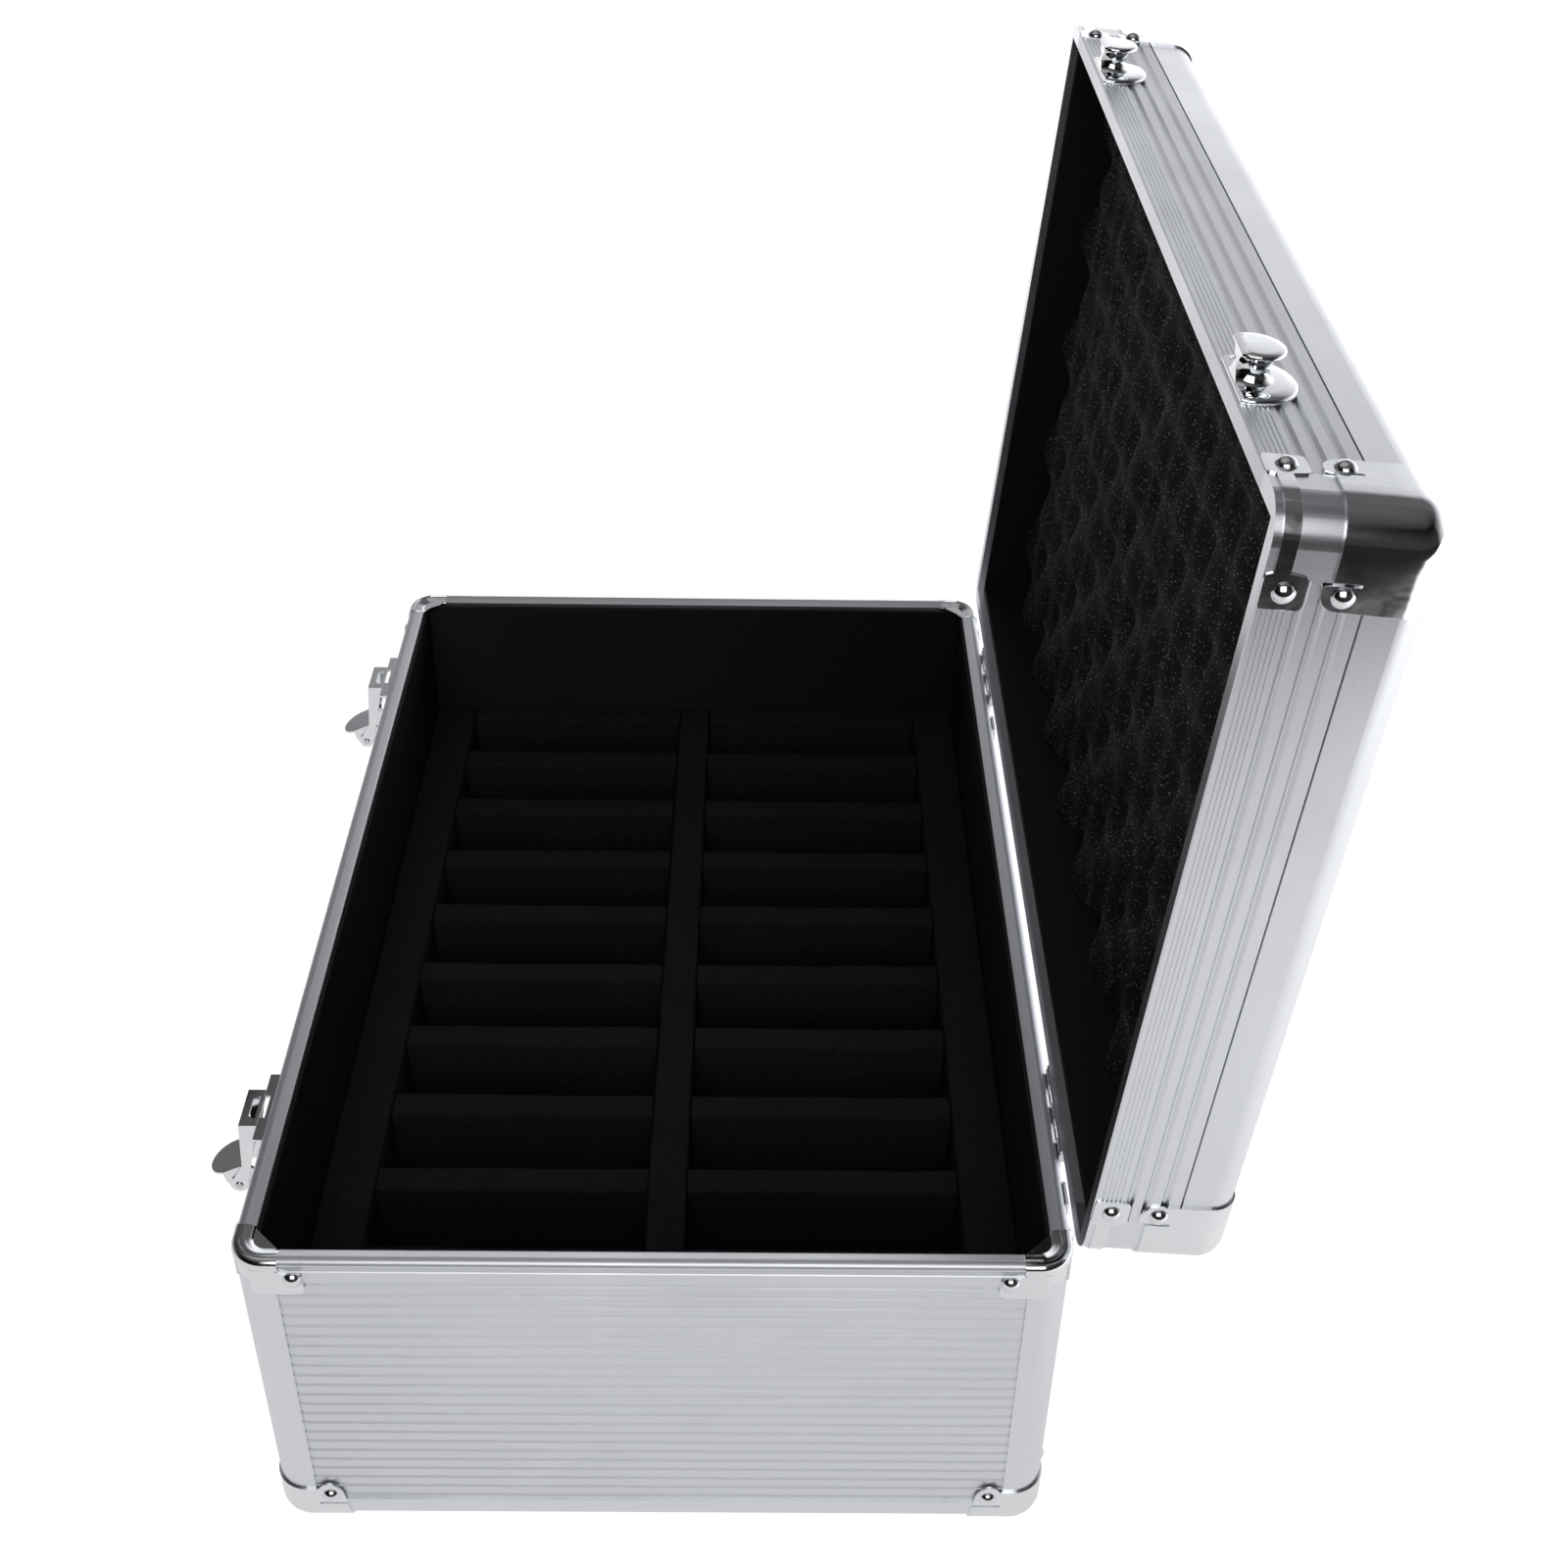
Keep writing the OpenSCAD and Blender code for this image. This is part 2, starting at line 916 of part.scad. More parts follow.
module handle_brackets() {
  at_origin()
    color("silver")
      lid_pose()
        for (x = [-bracket_x, bracket_x])
          translate([x, handle_y, 0]) {
            translate([-9, -14, lid_z + skin_rise + skin_t])
              cube([18, 28, lid_d - skin_rise + 1.2 - skin_t]);
            for (side = [-1, 1])
              translate([side > 0 ? 5 : -7, 0, 0])
                profile_at(0, 2)
                  difference() {
                    union() {
                      translate([0, handle_axis_z])
                        circle(5);
                      translate([-5, lid_z + lid_d])
                        square([10, 7]);
                    }
                    translate([0, handle_axis_z])
                      circle(pivot_r + fit);
                  }
          }
}

// Turns the handle from lying flat on the lid to hanging straight down.
module handle_pose() {
  lid_pose()
    translate([0, handle_y, handle_axis_z])
      rotate([handle_hang, 0, 0])
        children();
}

module handle_bail() {
  at_origin()
    color("silver")
      handle_pose()
        for (side = [-1, 1])
          translate([side * bracket_x, 0, 0]) {
            rotate([0, 90, 0])
              translate([0, 0, -7.6])
                cylinder(r = pivot_r, h = 15.2);
            rotate([0, 90, 0])
              translate([0, 0, -3.5])
                cylinder(r = 4.6, h = 7);
            translate([-3.5, 0, -2.5])
              cube([7, handle_reach - 3, 5]);
          }
}

module handle_grip() {
  at_origin()
    color("#1c1c1e")
      handle_pose()
        translate([-(handle_l + 14) / 2, handle_reach, grip_rise])
          rotate([0, 90, 0])
            cylinder(r = grip_r, h = handle_l + 14);
}

floor_board();
front_board();
back_board();
right_board();
left_board();
bottom_skin();
front_skin();
back_skin();
right_skin();
left_skin();
front_rim();
back_rim();
right_rim();
left_rim();
front_bottom_trim();
back_bottom_trim();
right_bottom_trim();
left_bottom_trim();
base_corner_posts();
base_rim_clamps();
base_ball_corners();
base_rivets();
base_lining();
foam_floor_pad();
foam_front_strip();
foam_centre_strip();
foam_back_strip();
foam_dividers();
hinge_base_leaves();
hinge_pins();
lid_stops();
latch_plate_right();
latch_plate_left();
lever_pins();
lid_top_board();
lid_top_skin();
lid_front_frame();
lid_back_frame();
lid_right_frame();
lid_left_frame();
lid_edge_trims();
lid_corner_posts();
lid_rim_clamps();
lid_ball_corners();
lid_rivets();
lid_lining();
eggcrate_pad();
strikes();
hinge_lid_leaves();
handle_brackets();
handle_bail();
handle_grip();
lever_right();
hasp_pin_right();
hasp_right();
lever_left();
hasp_pin_left();
hasp_left();
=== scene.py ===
"""Looks of the aluminium attache case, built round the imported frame.

Shapes are drawn in millimetres in the case's own axes: X along the case, the latches' side at -Y, the
table at Z 0. BASE puts such a shape into the frame, and LID does the same for one drawn with the lid shut.
"""

import json
import math

import bmesh
import bpy
from mathutils import Matrix, Vector, noise


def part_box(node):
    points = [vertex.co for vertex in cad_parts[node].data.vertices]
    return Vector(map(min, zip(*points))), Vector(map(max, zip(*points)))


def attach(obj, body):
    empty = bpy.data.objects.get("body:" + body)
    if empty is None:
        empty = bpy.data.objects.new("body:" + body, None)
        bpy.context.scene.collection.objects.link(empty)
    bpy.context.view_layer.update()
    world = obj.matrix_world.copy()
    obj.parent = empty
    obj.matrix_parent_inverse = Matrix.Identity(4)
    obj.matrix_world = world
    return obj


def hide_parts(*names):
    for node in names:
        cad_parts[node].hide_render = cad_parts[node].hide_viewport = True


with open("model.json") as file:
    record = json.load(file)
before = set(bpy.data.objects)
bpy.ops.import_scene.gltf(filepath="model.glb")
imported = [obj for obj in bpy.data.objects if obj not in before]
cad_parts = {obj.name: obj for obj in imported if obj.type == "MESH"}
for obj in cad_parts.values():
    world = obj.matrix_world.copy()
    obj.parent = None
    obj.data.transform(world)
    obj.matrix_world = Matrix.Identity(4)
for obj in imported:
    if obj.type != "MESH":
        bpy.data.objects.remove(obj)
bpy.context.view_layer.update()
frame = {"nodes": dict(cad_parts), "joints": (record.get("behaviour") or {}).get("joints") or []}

# ---------- where the case is ----------

MM = 0.001
posts_low, posts_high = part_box("base_corner_posts")
CASE_L = (posts_high.x - posts_low.x) / MM
CASE_W = (posts_high.y - posts_low.y) / MM
RIM_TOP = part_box("front_rim")[1].z / MM
CENTRE_Y = (posts_high.y + posts_low.y) / 2

hinge = next(j for j in frame["joints"] if j["name"] == "lid_hinge")
HINGE = Vector(hinge["pos_m"])
LID_TURN = math.radians(hinge["range_deg"][1])
LID_LOW = RIM_TOP + 0.3
LID_DEPTH = 45

BASE = Matrix.Translation((0, CENTRE_Y, 0)) @ Matrix.Scale(MM, 4)
LID = (
    Matrix.Translation(HINGE)
    @ Matrix.Rotation(-LID_TURN, 4, "X")
    @ Matrix.Translation(-HINGE)
    @ BASE
)

CORNER_R = 11  # the case's corners in plan
EDGE_R = 8  # its bottom and top edges
CAP_T = 0.8  # sheet of the corner shells
TAB_T = 0.6  # sheet of the riveted tabs
INNER = 7.6  # depth of the lined walls


# ---------- node helpers ----------


def add_node(tree, kind, **inputs):
    """A new node with some inputs set; an underscore in a key stands for a space."""
    node = tree.nodes.new(kind)
    for key, value in inputs.items():
        node.inputs[key.replace("_", " ")].default_value = value
    return node


def link(tree, source, target):
    """Joins an output to an input."""
    tree.links.new(source, target)


def grain(tree, scale, detail, turn=0.0):
    """Noise in object space, stretched by a different scale on each axis, after a turn about X."""
    where = tree.nodes.new("ShaderNodeTexCoord")
    mapping = tree.nodes.new("ShaderNodeMapping")
    mapping.vector_type = "POINT"
    mapping.inputs["Rotation"].default_value = (turn, 0, 0)
    stretch = tree.nodes.new("ShaderNodeVectorMath")
    stretch.operation = "MULTIPLY"
    stretch.inputs[1].default_value = scale
    link(tree, where.outputs["Object"], mapping.inputs["Vector"])
    link(tree, mapping.outputs["Vector"], stretch.inputs[0])
    pattern = add_node(tree, "ShaderNodeTexNoise", Scale=1.0, Detail=detail, Roughness=0.6)
    link(tree, stretch.outputs["Vector"], pattern.inputs["Vector"])
    return pattern.outputs["Fac"]


def remap(tree, value, low, high, from_low=0.3, from_high=0.7):
    """Carries from_low..from_high over to low..high, and holds the ends beyond it."""
    node = tree.nodes.new("ShaderNodeMapRange")
    node.inputs["From Min"].default_value = from_low
    node.inputs["From Max"].default_value = from_high
    node.inputs["To Min"].default_value = low
    node.inputs["To Max"].default_value = high
    link(tree, value, node.inputs["Value"])
    return node.outputs["Result"]


def combine(tree, operation, first, second):
    """Adds, multiplies or compares two outputs."""
    node = tree.nodes.new("ShaderNodeMath")
    node.operation = operation
    link(tree, first, node.inputs[0])
    link(tree, second, node.inputs[1])
    return node.outputs["Value"]


def blend_colours(tree, factor, low, high):
    """Mixes two colours by factor; low may also be an output."""
    node = tree.nodes.new("ShaderNodeMix")
    node.data_type = "RGBA"
    if isinstance(low, tuple):
        node.inputs["A"].default_value = (*low, 1)
    else:
        link(tree, low, node.inputs["A"])
    node.inputs["B"].default_value = (*high, 1)
    link(tree, factor, node.inputs["Factor"])
    return node.outputs["Result"]


def bump(tree, shader, heights):
    """Chains bump nodes: heights is a list of (height, strength, distance in metres)."""
    normal = None
    for height, strength, distance in heights:
        node = add_node(tree, "ShaderNodeBump", Strength=strength, Distance=distance)
        link(tree, height, node.inputs["Height"])
        if normal is not None:
            link(tree, normal, node.inputs["Normal"])
        normal = node.outputs["Normal"]
    link(tree, normal, shader.inputs["Normal"])


def new_material(name):
    """A material, its node tree and its shader node."""
    material = bpy.data.materials.new(name)
    material.use_nodes = True
    return material, material.node_tree, material.node_tree.nodes["Principled BSDF"]


# ---------- materials ----------

# Stretch of the die lines' noise for lines along each axis.
ALONG = {
    "x": (18, 2600, 2600),
    "y": (2600, 18, 2600),
    "z": (2600, 2600, 18),
}


def satin_metal(name, along, turn=0.0, tone=0.80, rough=0.29, line=0.15):
    """Anodised aluminium with die lines along one axis, soft clouds and small handling marks."""
    material, tree, shader = new_material(name)
    lines = grain(tree, ALONG[along], 4, turn)
    clouds = grain(tree, (14, 14, 14), 3, turn)
    marks = grain(tree, (160, 160, 160), 6, turn)
    warm = (tone, tone * 1.02, tone * 1.07)
    cool = tuple(c * 0.965 for c in warm)
    link(tree, blend_colours(tree, remap(tree, lines, 0, 1), cool, warm), shader.inputs["Base Color"])
    brushed = remap(tree, lines, rough - 0.025, rough + 0.025)
    hazy = remap(tree, clouds, -0.03, 0.05)
    link(tree, combine(tree, "ADD", brushed, hazy), shader.inputs["Roughness"])
    shader.inputs["Metallic"].default_value = 1
    bump(tree, shader, [(lines, line, 0.00003), (marks, 0.06, 0.0001)])
    return material


def plated_steel(name, tone=0.86, rough=0.07, smudge=0.06):
    """Bright plating: nearly a mirror, with polishing haze and shallow press marks."""
    material, tree, shader = new_material(name)
    haze = grain(tree, (60, 60, 60), 5)
    dents = grain(tree, (120, 120, 120), 2)
    low = (tone * 0.94, tone * 0.96, tone * 0.99)
    high = (tone, tone * 1.015, tone * 1.04)
    link(tree, blend_colours(tree, remap(tree, haze, 0, 1), low, high), shader.inputs["Base Color"])
    link(tree, remap(tree, haze, rough, rough + smudge), shader.inputs["Roughness"])
    shader.inputs["Metallic"].default_value = 1
    bump(tree, shader, [(dents, 0.12, 0.0004)])
    return material


def foam(name, tone, cell, depth, sparkle):
    """Open-cell foam: small pores in colour and bump, painted highlights along the crests, and a few painted
    glints on cell walls.

    The crests are where the mesh's crest attribute says; without one there are none.
    """
    material, tree, shader = new_material(name)
    where = tree.nodes.new("ShaderNodeTexCoord")
    cells = add_node(tree, "ShaderNodeTexVoronoi", Scale=cell)
    cells.feature = "F1"
    link(tree, where.outputs["Object"], cells.inputs["Vector"])
    clouds = grain(tree, (40, 40, 40), 4)
    dark = (tone * 0.55, tone * 0.55, tone * 0.58)
    light = (tone * 1.5, tone * 1.5, tone * 1.56)
    pores = blend_colours(tree, remap(tree, cells.outputs["Distance"], 0, 1, 0.1, 0.6), dark, light)
    split = tree.nodes.new("ShaderNodeSeparateColor")
    link(tree, cells.outputs["Color"], split.inputs["Color"])
    crest = tree.nodes.new("ShaderNodeAttribute")
    crest.attribute_name = "crest"
    # Painted highlight: the crests named by the crest attribute are lightened to five times the pale pore
    # colour, standing in for light catching them.
    crest_highlight_colour = tuple(5.0 * c for c in light)
    painted_crest_highlight = blend_colours(tree, remap(tree, crest.outputs["Fac"], 0, 0.6, 0, 1), pores, crest_highlight_colour)
    # Painted glints: a few small random cells are lifted to the sparkle colour, standing in for light
    # glinting off cell walls.
    few = remap(tree, split.outputs["Red"], 0, 1, 0.9, 0.97)
    small = remap(tree, cells.outputs["Distance"], 1, 0, 0.3, 0.55)
    glint = (sparkle, sparkle, sparkle * 1.04)
    colour = blend_colours(tree, combine(tree, "MULTIPLY", few, small), painted_crest_highlight, glint)
    link(tree, colour, shader.inputs["Base Color"])
    link(tree, remap(tree, clouds, 0.82, 0.98), shader.inputs["Roughness"])
    shader.inputs["Specular IOR Level"].default_value = 0.25
    bump(tree, shader, [(cells.outputs["Distance"], 0.8, depth), (clouds, 0.3, 0.001)])
    return material


def eva_sheet(name):
    """Smooth black foam sheet with a faint skin texture."""
    material, tree, shader = new_material(name)
    skin = grain(tree, (900, 900, 900), 3)
    waves = grain(tree, (22, 22, 22), 2)
    low = (0.007, 0.007, 0.008)
    high = (0.012, 0.012, 0.014)
    link(tree, blend_colours(tree, remap(tree, skin, 0, 1), low, high), shader.inputs["Base Color"])
    link(tree, remap(tree, waves, 0.55, 0.72), shader.inputs["Roughness"])
    shader.inputs["Specular IOR Level"].default_value = 0.2
    bump(tree, shader, [(skin, 0.25, 0.0001), (waves, 0.25, 0.001)])
    return material


def moulded_plastic(name):
    """Black moulded plastic with a spark-eroded grain."""
    material, tree, shader = new_material(name)
    grainy = grain(tree, (1800, 1800, 1800), 3)
    clouds = grain(tree, (50, 50, 50), 3)
    link(
        tree,
        blend_colours(tree, remap(tree, grainy, 0, 1), (0.012, 0.012, 0.013), (0.026, 0.026, 0.028)),
        shader.inputs["Base Color"],
    )
    link(tree, remap(tree, clouds, 0.4, 0.55), shader.inputs["Roughness"])
    bump(tree, shader, [(grainy, 0.35, 0.0001)])
    return material


def plywood(name):
    """Pale plywood with stretched grain; only cut edges could ever show."""
    material, tree, shader = new_material(name)
    fibres = grain(tree, (12, 260, 700), 5)
    link(
        tree,
        blend_colours(tree, remap(tree, fibres, 0, 1), (0.42, 0.28, 0.15), (0.66, 0.50, 0.32)),
        shader.inputs["Base Color"],
    )
    link(tree, remap(tree, fibres, 0.6, 0.8), shader.inputs["Roughness"])
    bump(tree, shader, [(fibres, 0.4, 0.0002)])
    return material


METAL_X = satin_metal("aluminium_along_x", "x")
METAL_Y = satin_metal("aluminium_along_y", "y")
METAL_Z = satin_metal("aluminium_along_z", "z")
RIM_X = satin_metal("rim_along_x", "x", rough=0.42)
RIM_Y = satin_metal("rim_along_y", "y", rough=0.42)
FRAME_X = satin_metal("frame_along_x", "x", rough=0.42)
LID_Y = satin_metal("aluminium_lid_side", "y", turn=LID_TURN)
LID_Z = satin_metal("aluminium_lid_post", "z", turn=LID_TURN)
SKIN_X = satin_metal("ribbed_sheet_along_x", "x", tone=0.82, rough=0.5, line=0.12)
SKIN_Y = satin_metal("ribbed_sheet_along_y", "y", tone=0.82, rough=0.5, line=0.12)
SHEET = satin_metal("bottom_sheet", "x", tone=0.72, rough=0.4)
CHROME = plated_steel("corner_plating")
LATCH = plated_steel("latch_chrome", tone=0.88, rough=0.05, smudge=0.05)
RIVET = plated_steel("rivet_plating", tone=0.84, rough=0.10)
HINGE_STEEL = plated_steel("hinge_plating", tone=0.76, rough=0.16)
PIN_STEEL = satin_metal("pin_steel", "x", tone=0.66, rough=0.24)
EVA = eva_sheet("eva_lining")
INSERT_FOAM = foam("insert_foam", 0.008, 1500, 0.0003, 0.03)
EGG_FOAM = foam("eggcrate_foam", 0.008, 1900, 0.0002, 0.5)
PLASTIC = moulded_plastic("grip_plastic")
PLY = plywood("plywood")


# ---------- mesh helpers ----------


def smooth_object(bm, name):
    """Makes an object of a shape, smooth except at sharp edges."""
    mesh = bpy.data.meshes.new(name)
    bm.to_mesh(mesh)
    bm.free()
    mesh.shade_smooth()
    mesh.set_sharp_from_angle(angle=math.radians(38))
    piece = bpy.data.objects.new(name, mesh)
    bpy.context.scene.collection.objects.link(piece)
    return piece


def finish_mesh(bm, name, place):
    """Cleans a drawn shape, moves it into the frame and makes an object of it."""
    bmesh.ops.remove_doubles(bm, verts=bm.verts, dist=0.002)
    bmesh.ops.dissolve_degenerate(bm, edges=bm.edges, dist=0.001)
    bmesh.ops.recalc_face_normals(bm, faces=bm.faces)
    bm.transform(place)
    if place.determinant() < 0:
        bmesh.ops.reverse_faces(bm, faces=bm.faces)
    return smooth_object(bm, name)


def dress(piece, material, body, nodes, slot, bevel=0.0):
    """Gives a piece its material and body, hides its CAD nodes, and rounds its sharp edges by bevel mm; slot
    is not used.
    """
    piece.data.materials.clear()
    piece.data.materials.append(material)
    if bevel > 0:
        rounding = piece.modifiers.new("rounding", "BEVEL")
        rounding.width = bevel * MM
        rounding.segments = 2
        rounding.limit_method = "ANGLE"
        rounding.angle_limit = math.radians(40)
        rounding.use_clamp_overlap = True
        rounding.harden_normals = True
    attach(piece, body)
    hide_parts(*nodes)
    return piece


def softened(node, name, body, material, slot, bevel):
    """A copy of a CAD node with its flat facets merged and its edges rounded."""
    bm = bmesh.new()
    bm.from_mesh(frame["nodes"][node].data)
    bmesh.ops.remove_doubles(bm, verts=bm.verts, dist=2e-6)
    bmesh.ops.dissolve_limit(bm, angle_limit=math.radians(0.6), verts=bm.verts, edges=bm.edges)
    return dress(smooth_object(bm, name), material, body, [node], slot, bevel)


def grid_faces(bm, rows, keep=None):
    """Joins rows of vertices into quads, leaving out those for which keep says no."""
    for i in range(len(rows) - 1):
        for j in range(len(rows[i]) - 1):
            if keep is None or keep(i, j):
                corners = [rows[i][j], rows[i][j + 1], rows[i + 1][j + 1], rows[i + 1][j]]
                if len(set(corners)) > 2:
                    bm.faces.new(corners)


def tube(bm, rings):
    """Joins closed rings of vertices, one after the other, and caps both ends."""
    for near, far in zip(rings, rings[1:]):
        for k in range(len(near)):
            bm.faces.new([near[k - 1], near[k], far[k], far[k - 1]])
    bm.faces.new(list(reversed(rings[0])))
    bm.faces.new(rings[-1])


def thicken(bm, inward):
    """Makes a plate of an open surface: copies it moved by inward(vertex) and closes the sides."""
    border = [e for e in bm.edges if len(e.link_faces) == 1]
    faces = list(bm.faces)
    twin = {v: bm.verts.new(v.co + inward(v)) for v in list(bm.verts)}
    for face in faces:
        bm.faces.new([twin[v] for v in reversed(face.verts)])
    for edge in border:
        a, b = edge.verts
        bm.faces.new([a, b, twin[b], twin[a]])


def merged(parts):
    """One bmesh of several."""
    whole = bmesh.new()
    for part in parts:
        mesh = bpy.data.meshes.new("part")
        part.to_mesh(mesh)
        whole.from_mesh(mesh)
        bpy.data.meshes.remove(mesh)
        part.free()
    return whole


def moved(bm, matrix):
    """The shape after a transform, with its faces still outwards when the transform mirrors it."""
    bm.transform(matrix)
    if matrix.determinant() < 0:
        bmesh.ops.reverse_faces(bm, faces=bm.faces)
    return bm


def four_corners(make):
    """A corner piece drawn at the origin, repeated at the case's four corners."""
    parts = []
    for mx in (1, -1):
        for my in (1, -1):
            flip = Matrix.Diagonal((mx, my, 1, 1))
            parts.append(moved(make(), flip @ Matrix.Translation((-CASE_L / 2, -CASE_W / 2, 0))))
    return merged(parts)


def upside_down(top):
    """Turns a piece drawn upwards from 0 into one that hangs from height top."""
    return Matrix.Translation((0, 0, top)) @ Matrix.Diagonal((1, 1, -1, 1))


def lathe(profile, steps):
    """Turns (radius, height) points about Z."""
    bm = bmesh.new()
    rows = []
    for k in range(steps + 1):
        angle = 2 * math.pi * (k % steps) / steps
        rows.append([
            bm.verts.new((r * math.cos(angle), r * math.sin(angle), z)) for r, z in profile
        ])
    grid_faces(bm, rows)
    bmesh.ops.remove_doubles(bm, verts=bm.verts, dist=0.0005)
    return bm


def loft(outline, levels):
    """Stacks a plan outline at (inset, height) levels and caps both ends."""
    bm = bmesh.new()
    count = len(outline)
    normals = []
    for k in range(count):
        before = Vector(outline[k - 1])
        after = Vector(outline[(k + 1) % count])
        along = (after - before).normalized()
        normals.append(Vector((-along.y, along.x)))
    rings = []
    for inset, height in levels:
        ring = []
        for point, normal in zip(outline, normals):
            place = Vector(point) + normal * inset
            ring.append(bm.verts.new((*place, height)))
        rings.append(ring)
    tube(bm, rings)
    return bm


def cut_circle(radius, middle, cut, steps=48):
    """A circle about (0, middle), cut straight along y = cut, as an outline turning left."""
    start = math.asin((cut - middle) / radius)
    sweep = math.pi - 2 * start
    turns = [start + sweep * k / steps for k in range(steps + 1)]
    return [(radius * math.cos(turn), middle + radius * math.sin(turn)) for turn in turns]


# ---------- the case's plan near a corner ----------

ARC_HALF = CORNER_R * math.pi / 4


def station(x):
    """Distance from the corner's middle along the outer face to the point x from the end face."""
    return ARC_HALF + x - CORNER_R


def from_end(s):
    """Distance from the end face to the station s: what station undoes, on either arm."""
    return abs(s) - ARC_HALF + CORNER_R


def plan(s, off):
    """Point on the outer face at distance s from the corner's middle, off outside it, and the way in."""
    a = abs(s)
    if a <= ARC_HALF:
        turn = (ARC_HALF - a) / CORNER_R
        way = Vector((math.sin(turn), math.cos(turn)))
        point = Vector((CORNER_R, CORNER_R)) - way * (CORNER_R + off)
    else:
        way = Vector((0, 1))
        point = Vector((CORNER_R + a - ARC_HALF, -off))
    if s < 0:
        way = Vector((way.y, way.x))
        point = Vector((point.y, point.x))
    return point, way


def both_arms(columns):
    """Columns of one arm, from the corner outwards, mirrored to the other arm."""
    return [-s for s in reversed(columns)] + [s for s in columns if s > 0]


def arc_columns():
    """Stations over the rounded half of one arm, short of its end."""
    count = 7
    return [ARC_HALF * k / count for k in range(count)]


def sweep_corner(stations, profile):
    """A closed (depth, height) profile carried round the corner."""
    bm = bmesh.new()
    rings = []
    for s in stations:
        point, way = plan(s, 0)
        rings.append([bm.verts.new((*(point + way * d), z)) for d, z in profile])
    tube(bm, rings)
    return bm


def wall_sheet(stations, low, high, off, thick, rows=4):
    """A plate on the outer face, between heights low(s) and high(s)."""
    bm = bmesh.new()
    lines = []
    ways = {}
    for s in stations:
        point, way = plan(s, off)
        bottom, top = low(s), high(s)
        line = [bm.verts.new((*point, bottom + (top - bottom) * k / rows)) for k in range(rows + 1)]
        ways.update((v, Vector((*(way * thick), 0))) for v in line)
        lines.append(line)
    grid_faces(bm, lines)
    thicken(bm, lambda v: ways[v])
    return bm


def round_cut(radius, past):
    """How far a rounded corner of that radius cuts in, past its beginning by past."""
    past = min(max(0.0, past), radius)
    return radius - math.sqrt(radius * radius - past * past)


def rounded_end(x, end, radius):
    """How far a rounded corner of that radius, ending at end, cuts in at x."""
    return round_cut(radius, x - (end - radius))


def end_columns(start, end, radius):
    """Values from start to end, closer together over the last radius."""
    steps = 7
    straight = [start + (end - radius - start) * k / 3 for k in range(3)]
    bend = [end - radius + radius * math.sin(math.pi / 2 * k / steps) for k in range(steps + 1)]
    return straight + bend


# ---------- corner hardware ----------


def ball_corner(tops, fixed, slit, arm, slant):
    """Pressed shell over a three-way corner, standing on height 0.

    tops is a list of (x, height) along an arm, fixed the heights of the rows below them, slit the
    hole as (x low, x high, z low, z high), arm the arm's length and slant its gain towards the table.
    """
    bm = bmesh.new()
    radius = EDGE_R + CAP_T
    top_of = {station(x): z for x, z in tops}
    columns = both_arms(arc_columns() + sorted(top_of))
    low_top = tops[0][1]
    steps = 8
    lines = []
    for s in columns:
        top = top_of.get(abs(s), low_top)
        heights = [top + (fixed[0] - top) * k / 3 for k in range(3)] + fixed
        cross = [(0.0, z) for z in heights]
        for k in range(1, steps + 1):
            turn = math.pi / 2 * k / steps
            cross.append((radius * (1 - math.cos(turn)), radius * (1 - math.sin(turn))))
        cross.append((CORNER_R + CAP_T, 0.0))
        line = []
        for d, z in cross:
            along = s
            if abs(s) > ARC_HALF:
                gain = slant * max(0.0, low_top - z) / low_top
                reach = 1 + gain / (arm - CORNER_R)
                along = math.copysign(ARC_HALF + (abs(s) - ARC_HALF) * reach, s)
            point, way = plan(along, CAP_T)
            line.append(bm.verts.new((*(point + way * d), z)))
        lines.append(line)

    def keep(i, j):
        """Says whether a cell belongs to the shell and not to its slit."""
        if abs(columns[i]) < ARC_HALF or abs(columns[i + 1]) < ARC_HALF:
            return True
        x = (from_end(columns[i]) + from_end(columns[i + 1])) / 2
        z = sum(line[k].co.z for line in lines[i:i + 2] for k in (j, j + 1)) / 4
        return not (slit[0] < x < slit[1] and slit[2] < z < slit[3])

    ways = {}
    for s, line in zip(columns, lines):
        way = plan(s, CAP_T)[1]
        for k, v in enumerate(line):
            depth_row = max(0, k - 2 - len(fixed))
            turn = math.pi / 2 * min(depth_row, steps) / steps
            ways[v] = Vector((*(way * math.cos(turn)), math.sin(turn))) * CAP_T
    grid_faces(bm, lines, keep)
    inner_left = [line[-1] for s, line in zip(columns, lines) if s <= -ARC_HALF]
    inner_right = [line[-1] for s, line in zip(columns, lines) if s >= ARC_HALF]
    bm.faces.new(list(reversed(inner_left + inner_right[1:])))
    thicken(bm, lambda v: ways[v])
    return bm


def base_ball():
    """The base's shell: a level band with a round riveted tab at each arm's end."""
    band, tab_mid, tab_half, tab_low, tab_rise = 20.0, 18.9, 4.8, 15.5, 7.4
    tops = [(CORNER_R, band), (13.4, band)]
    steps = 14
    for k in range(steps + 1):
        turn = math.pi * k / steps
        top = tab_low + tab_rise * math.sin(turn)
        if 2 * k <= steps:
            top = max(band, top)
        tops.append((tab_mid - tab_half * math.cos(turn), top))
    return ball_corner(tops, [12.5, 11.6, EDGE_R + CAP_T], (14.8, 40.0, 11.6, 12.5), tab_mid + tab_half, 2.4)


def lid_ball():
    """The lid's shell, drawn upside down: a band and a slightly higher riveted tab, parted by a slit."""
    band, tab, end, bend = 28.3, 30.8, 27.2, 5.0
    tops = [(CORNER_R, band), (15.0, band), (19.0, band), (19.9, band + 0.6)]
    for x in end_columns(20.4, end, bend):
        tops.append((x, tab - rounded_end(x, end, bend)))
    return ball_corner(tops, [20.8, 14.0, EDGE_R + CAP_T], (19.0, 19.9, 20.8, 40.0), end, 0.8)


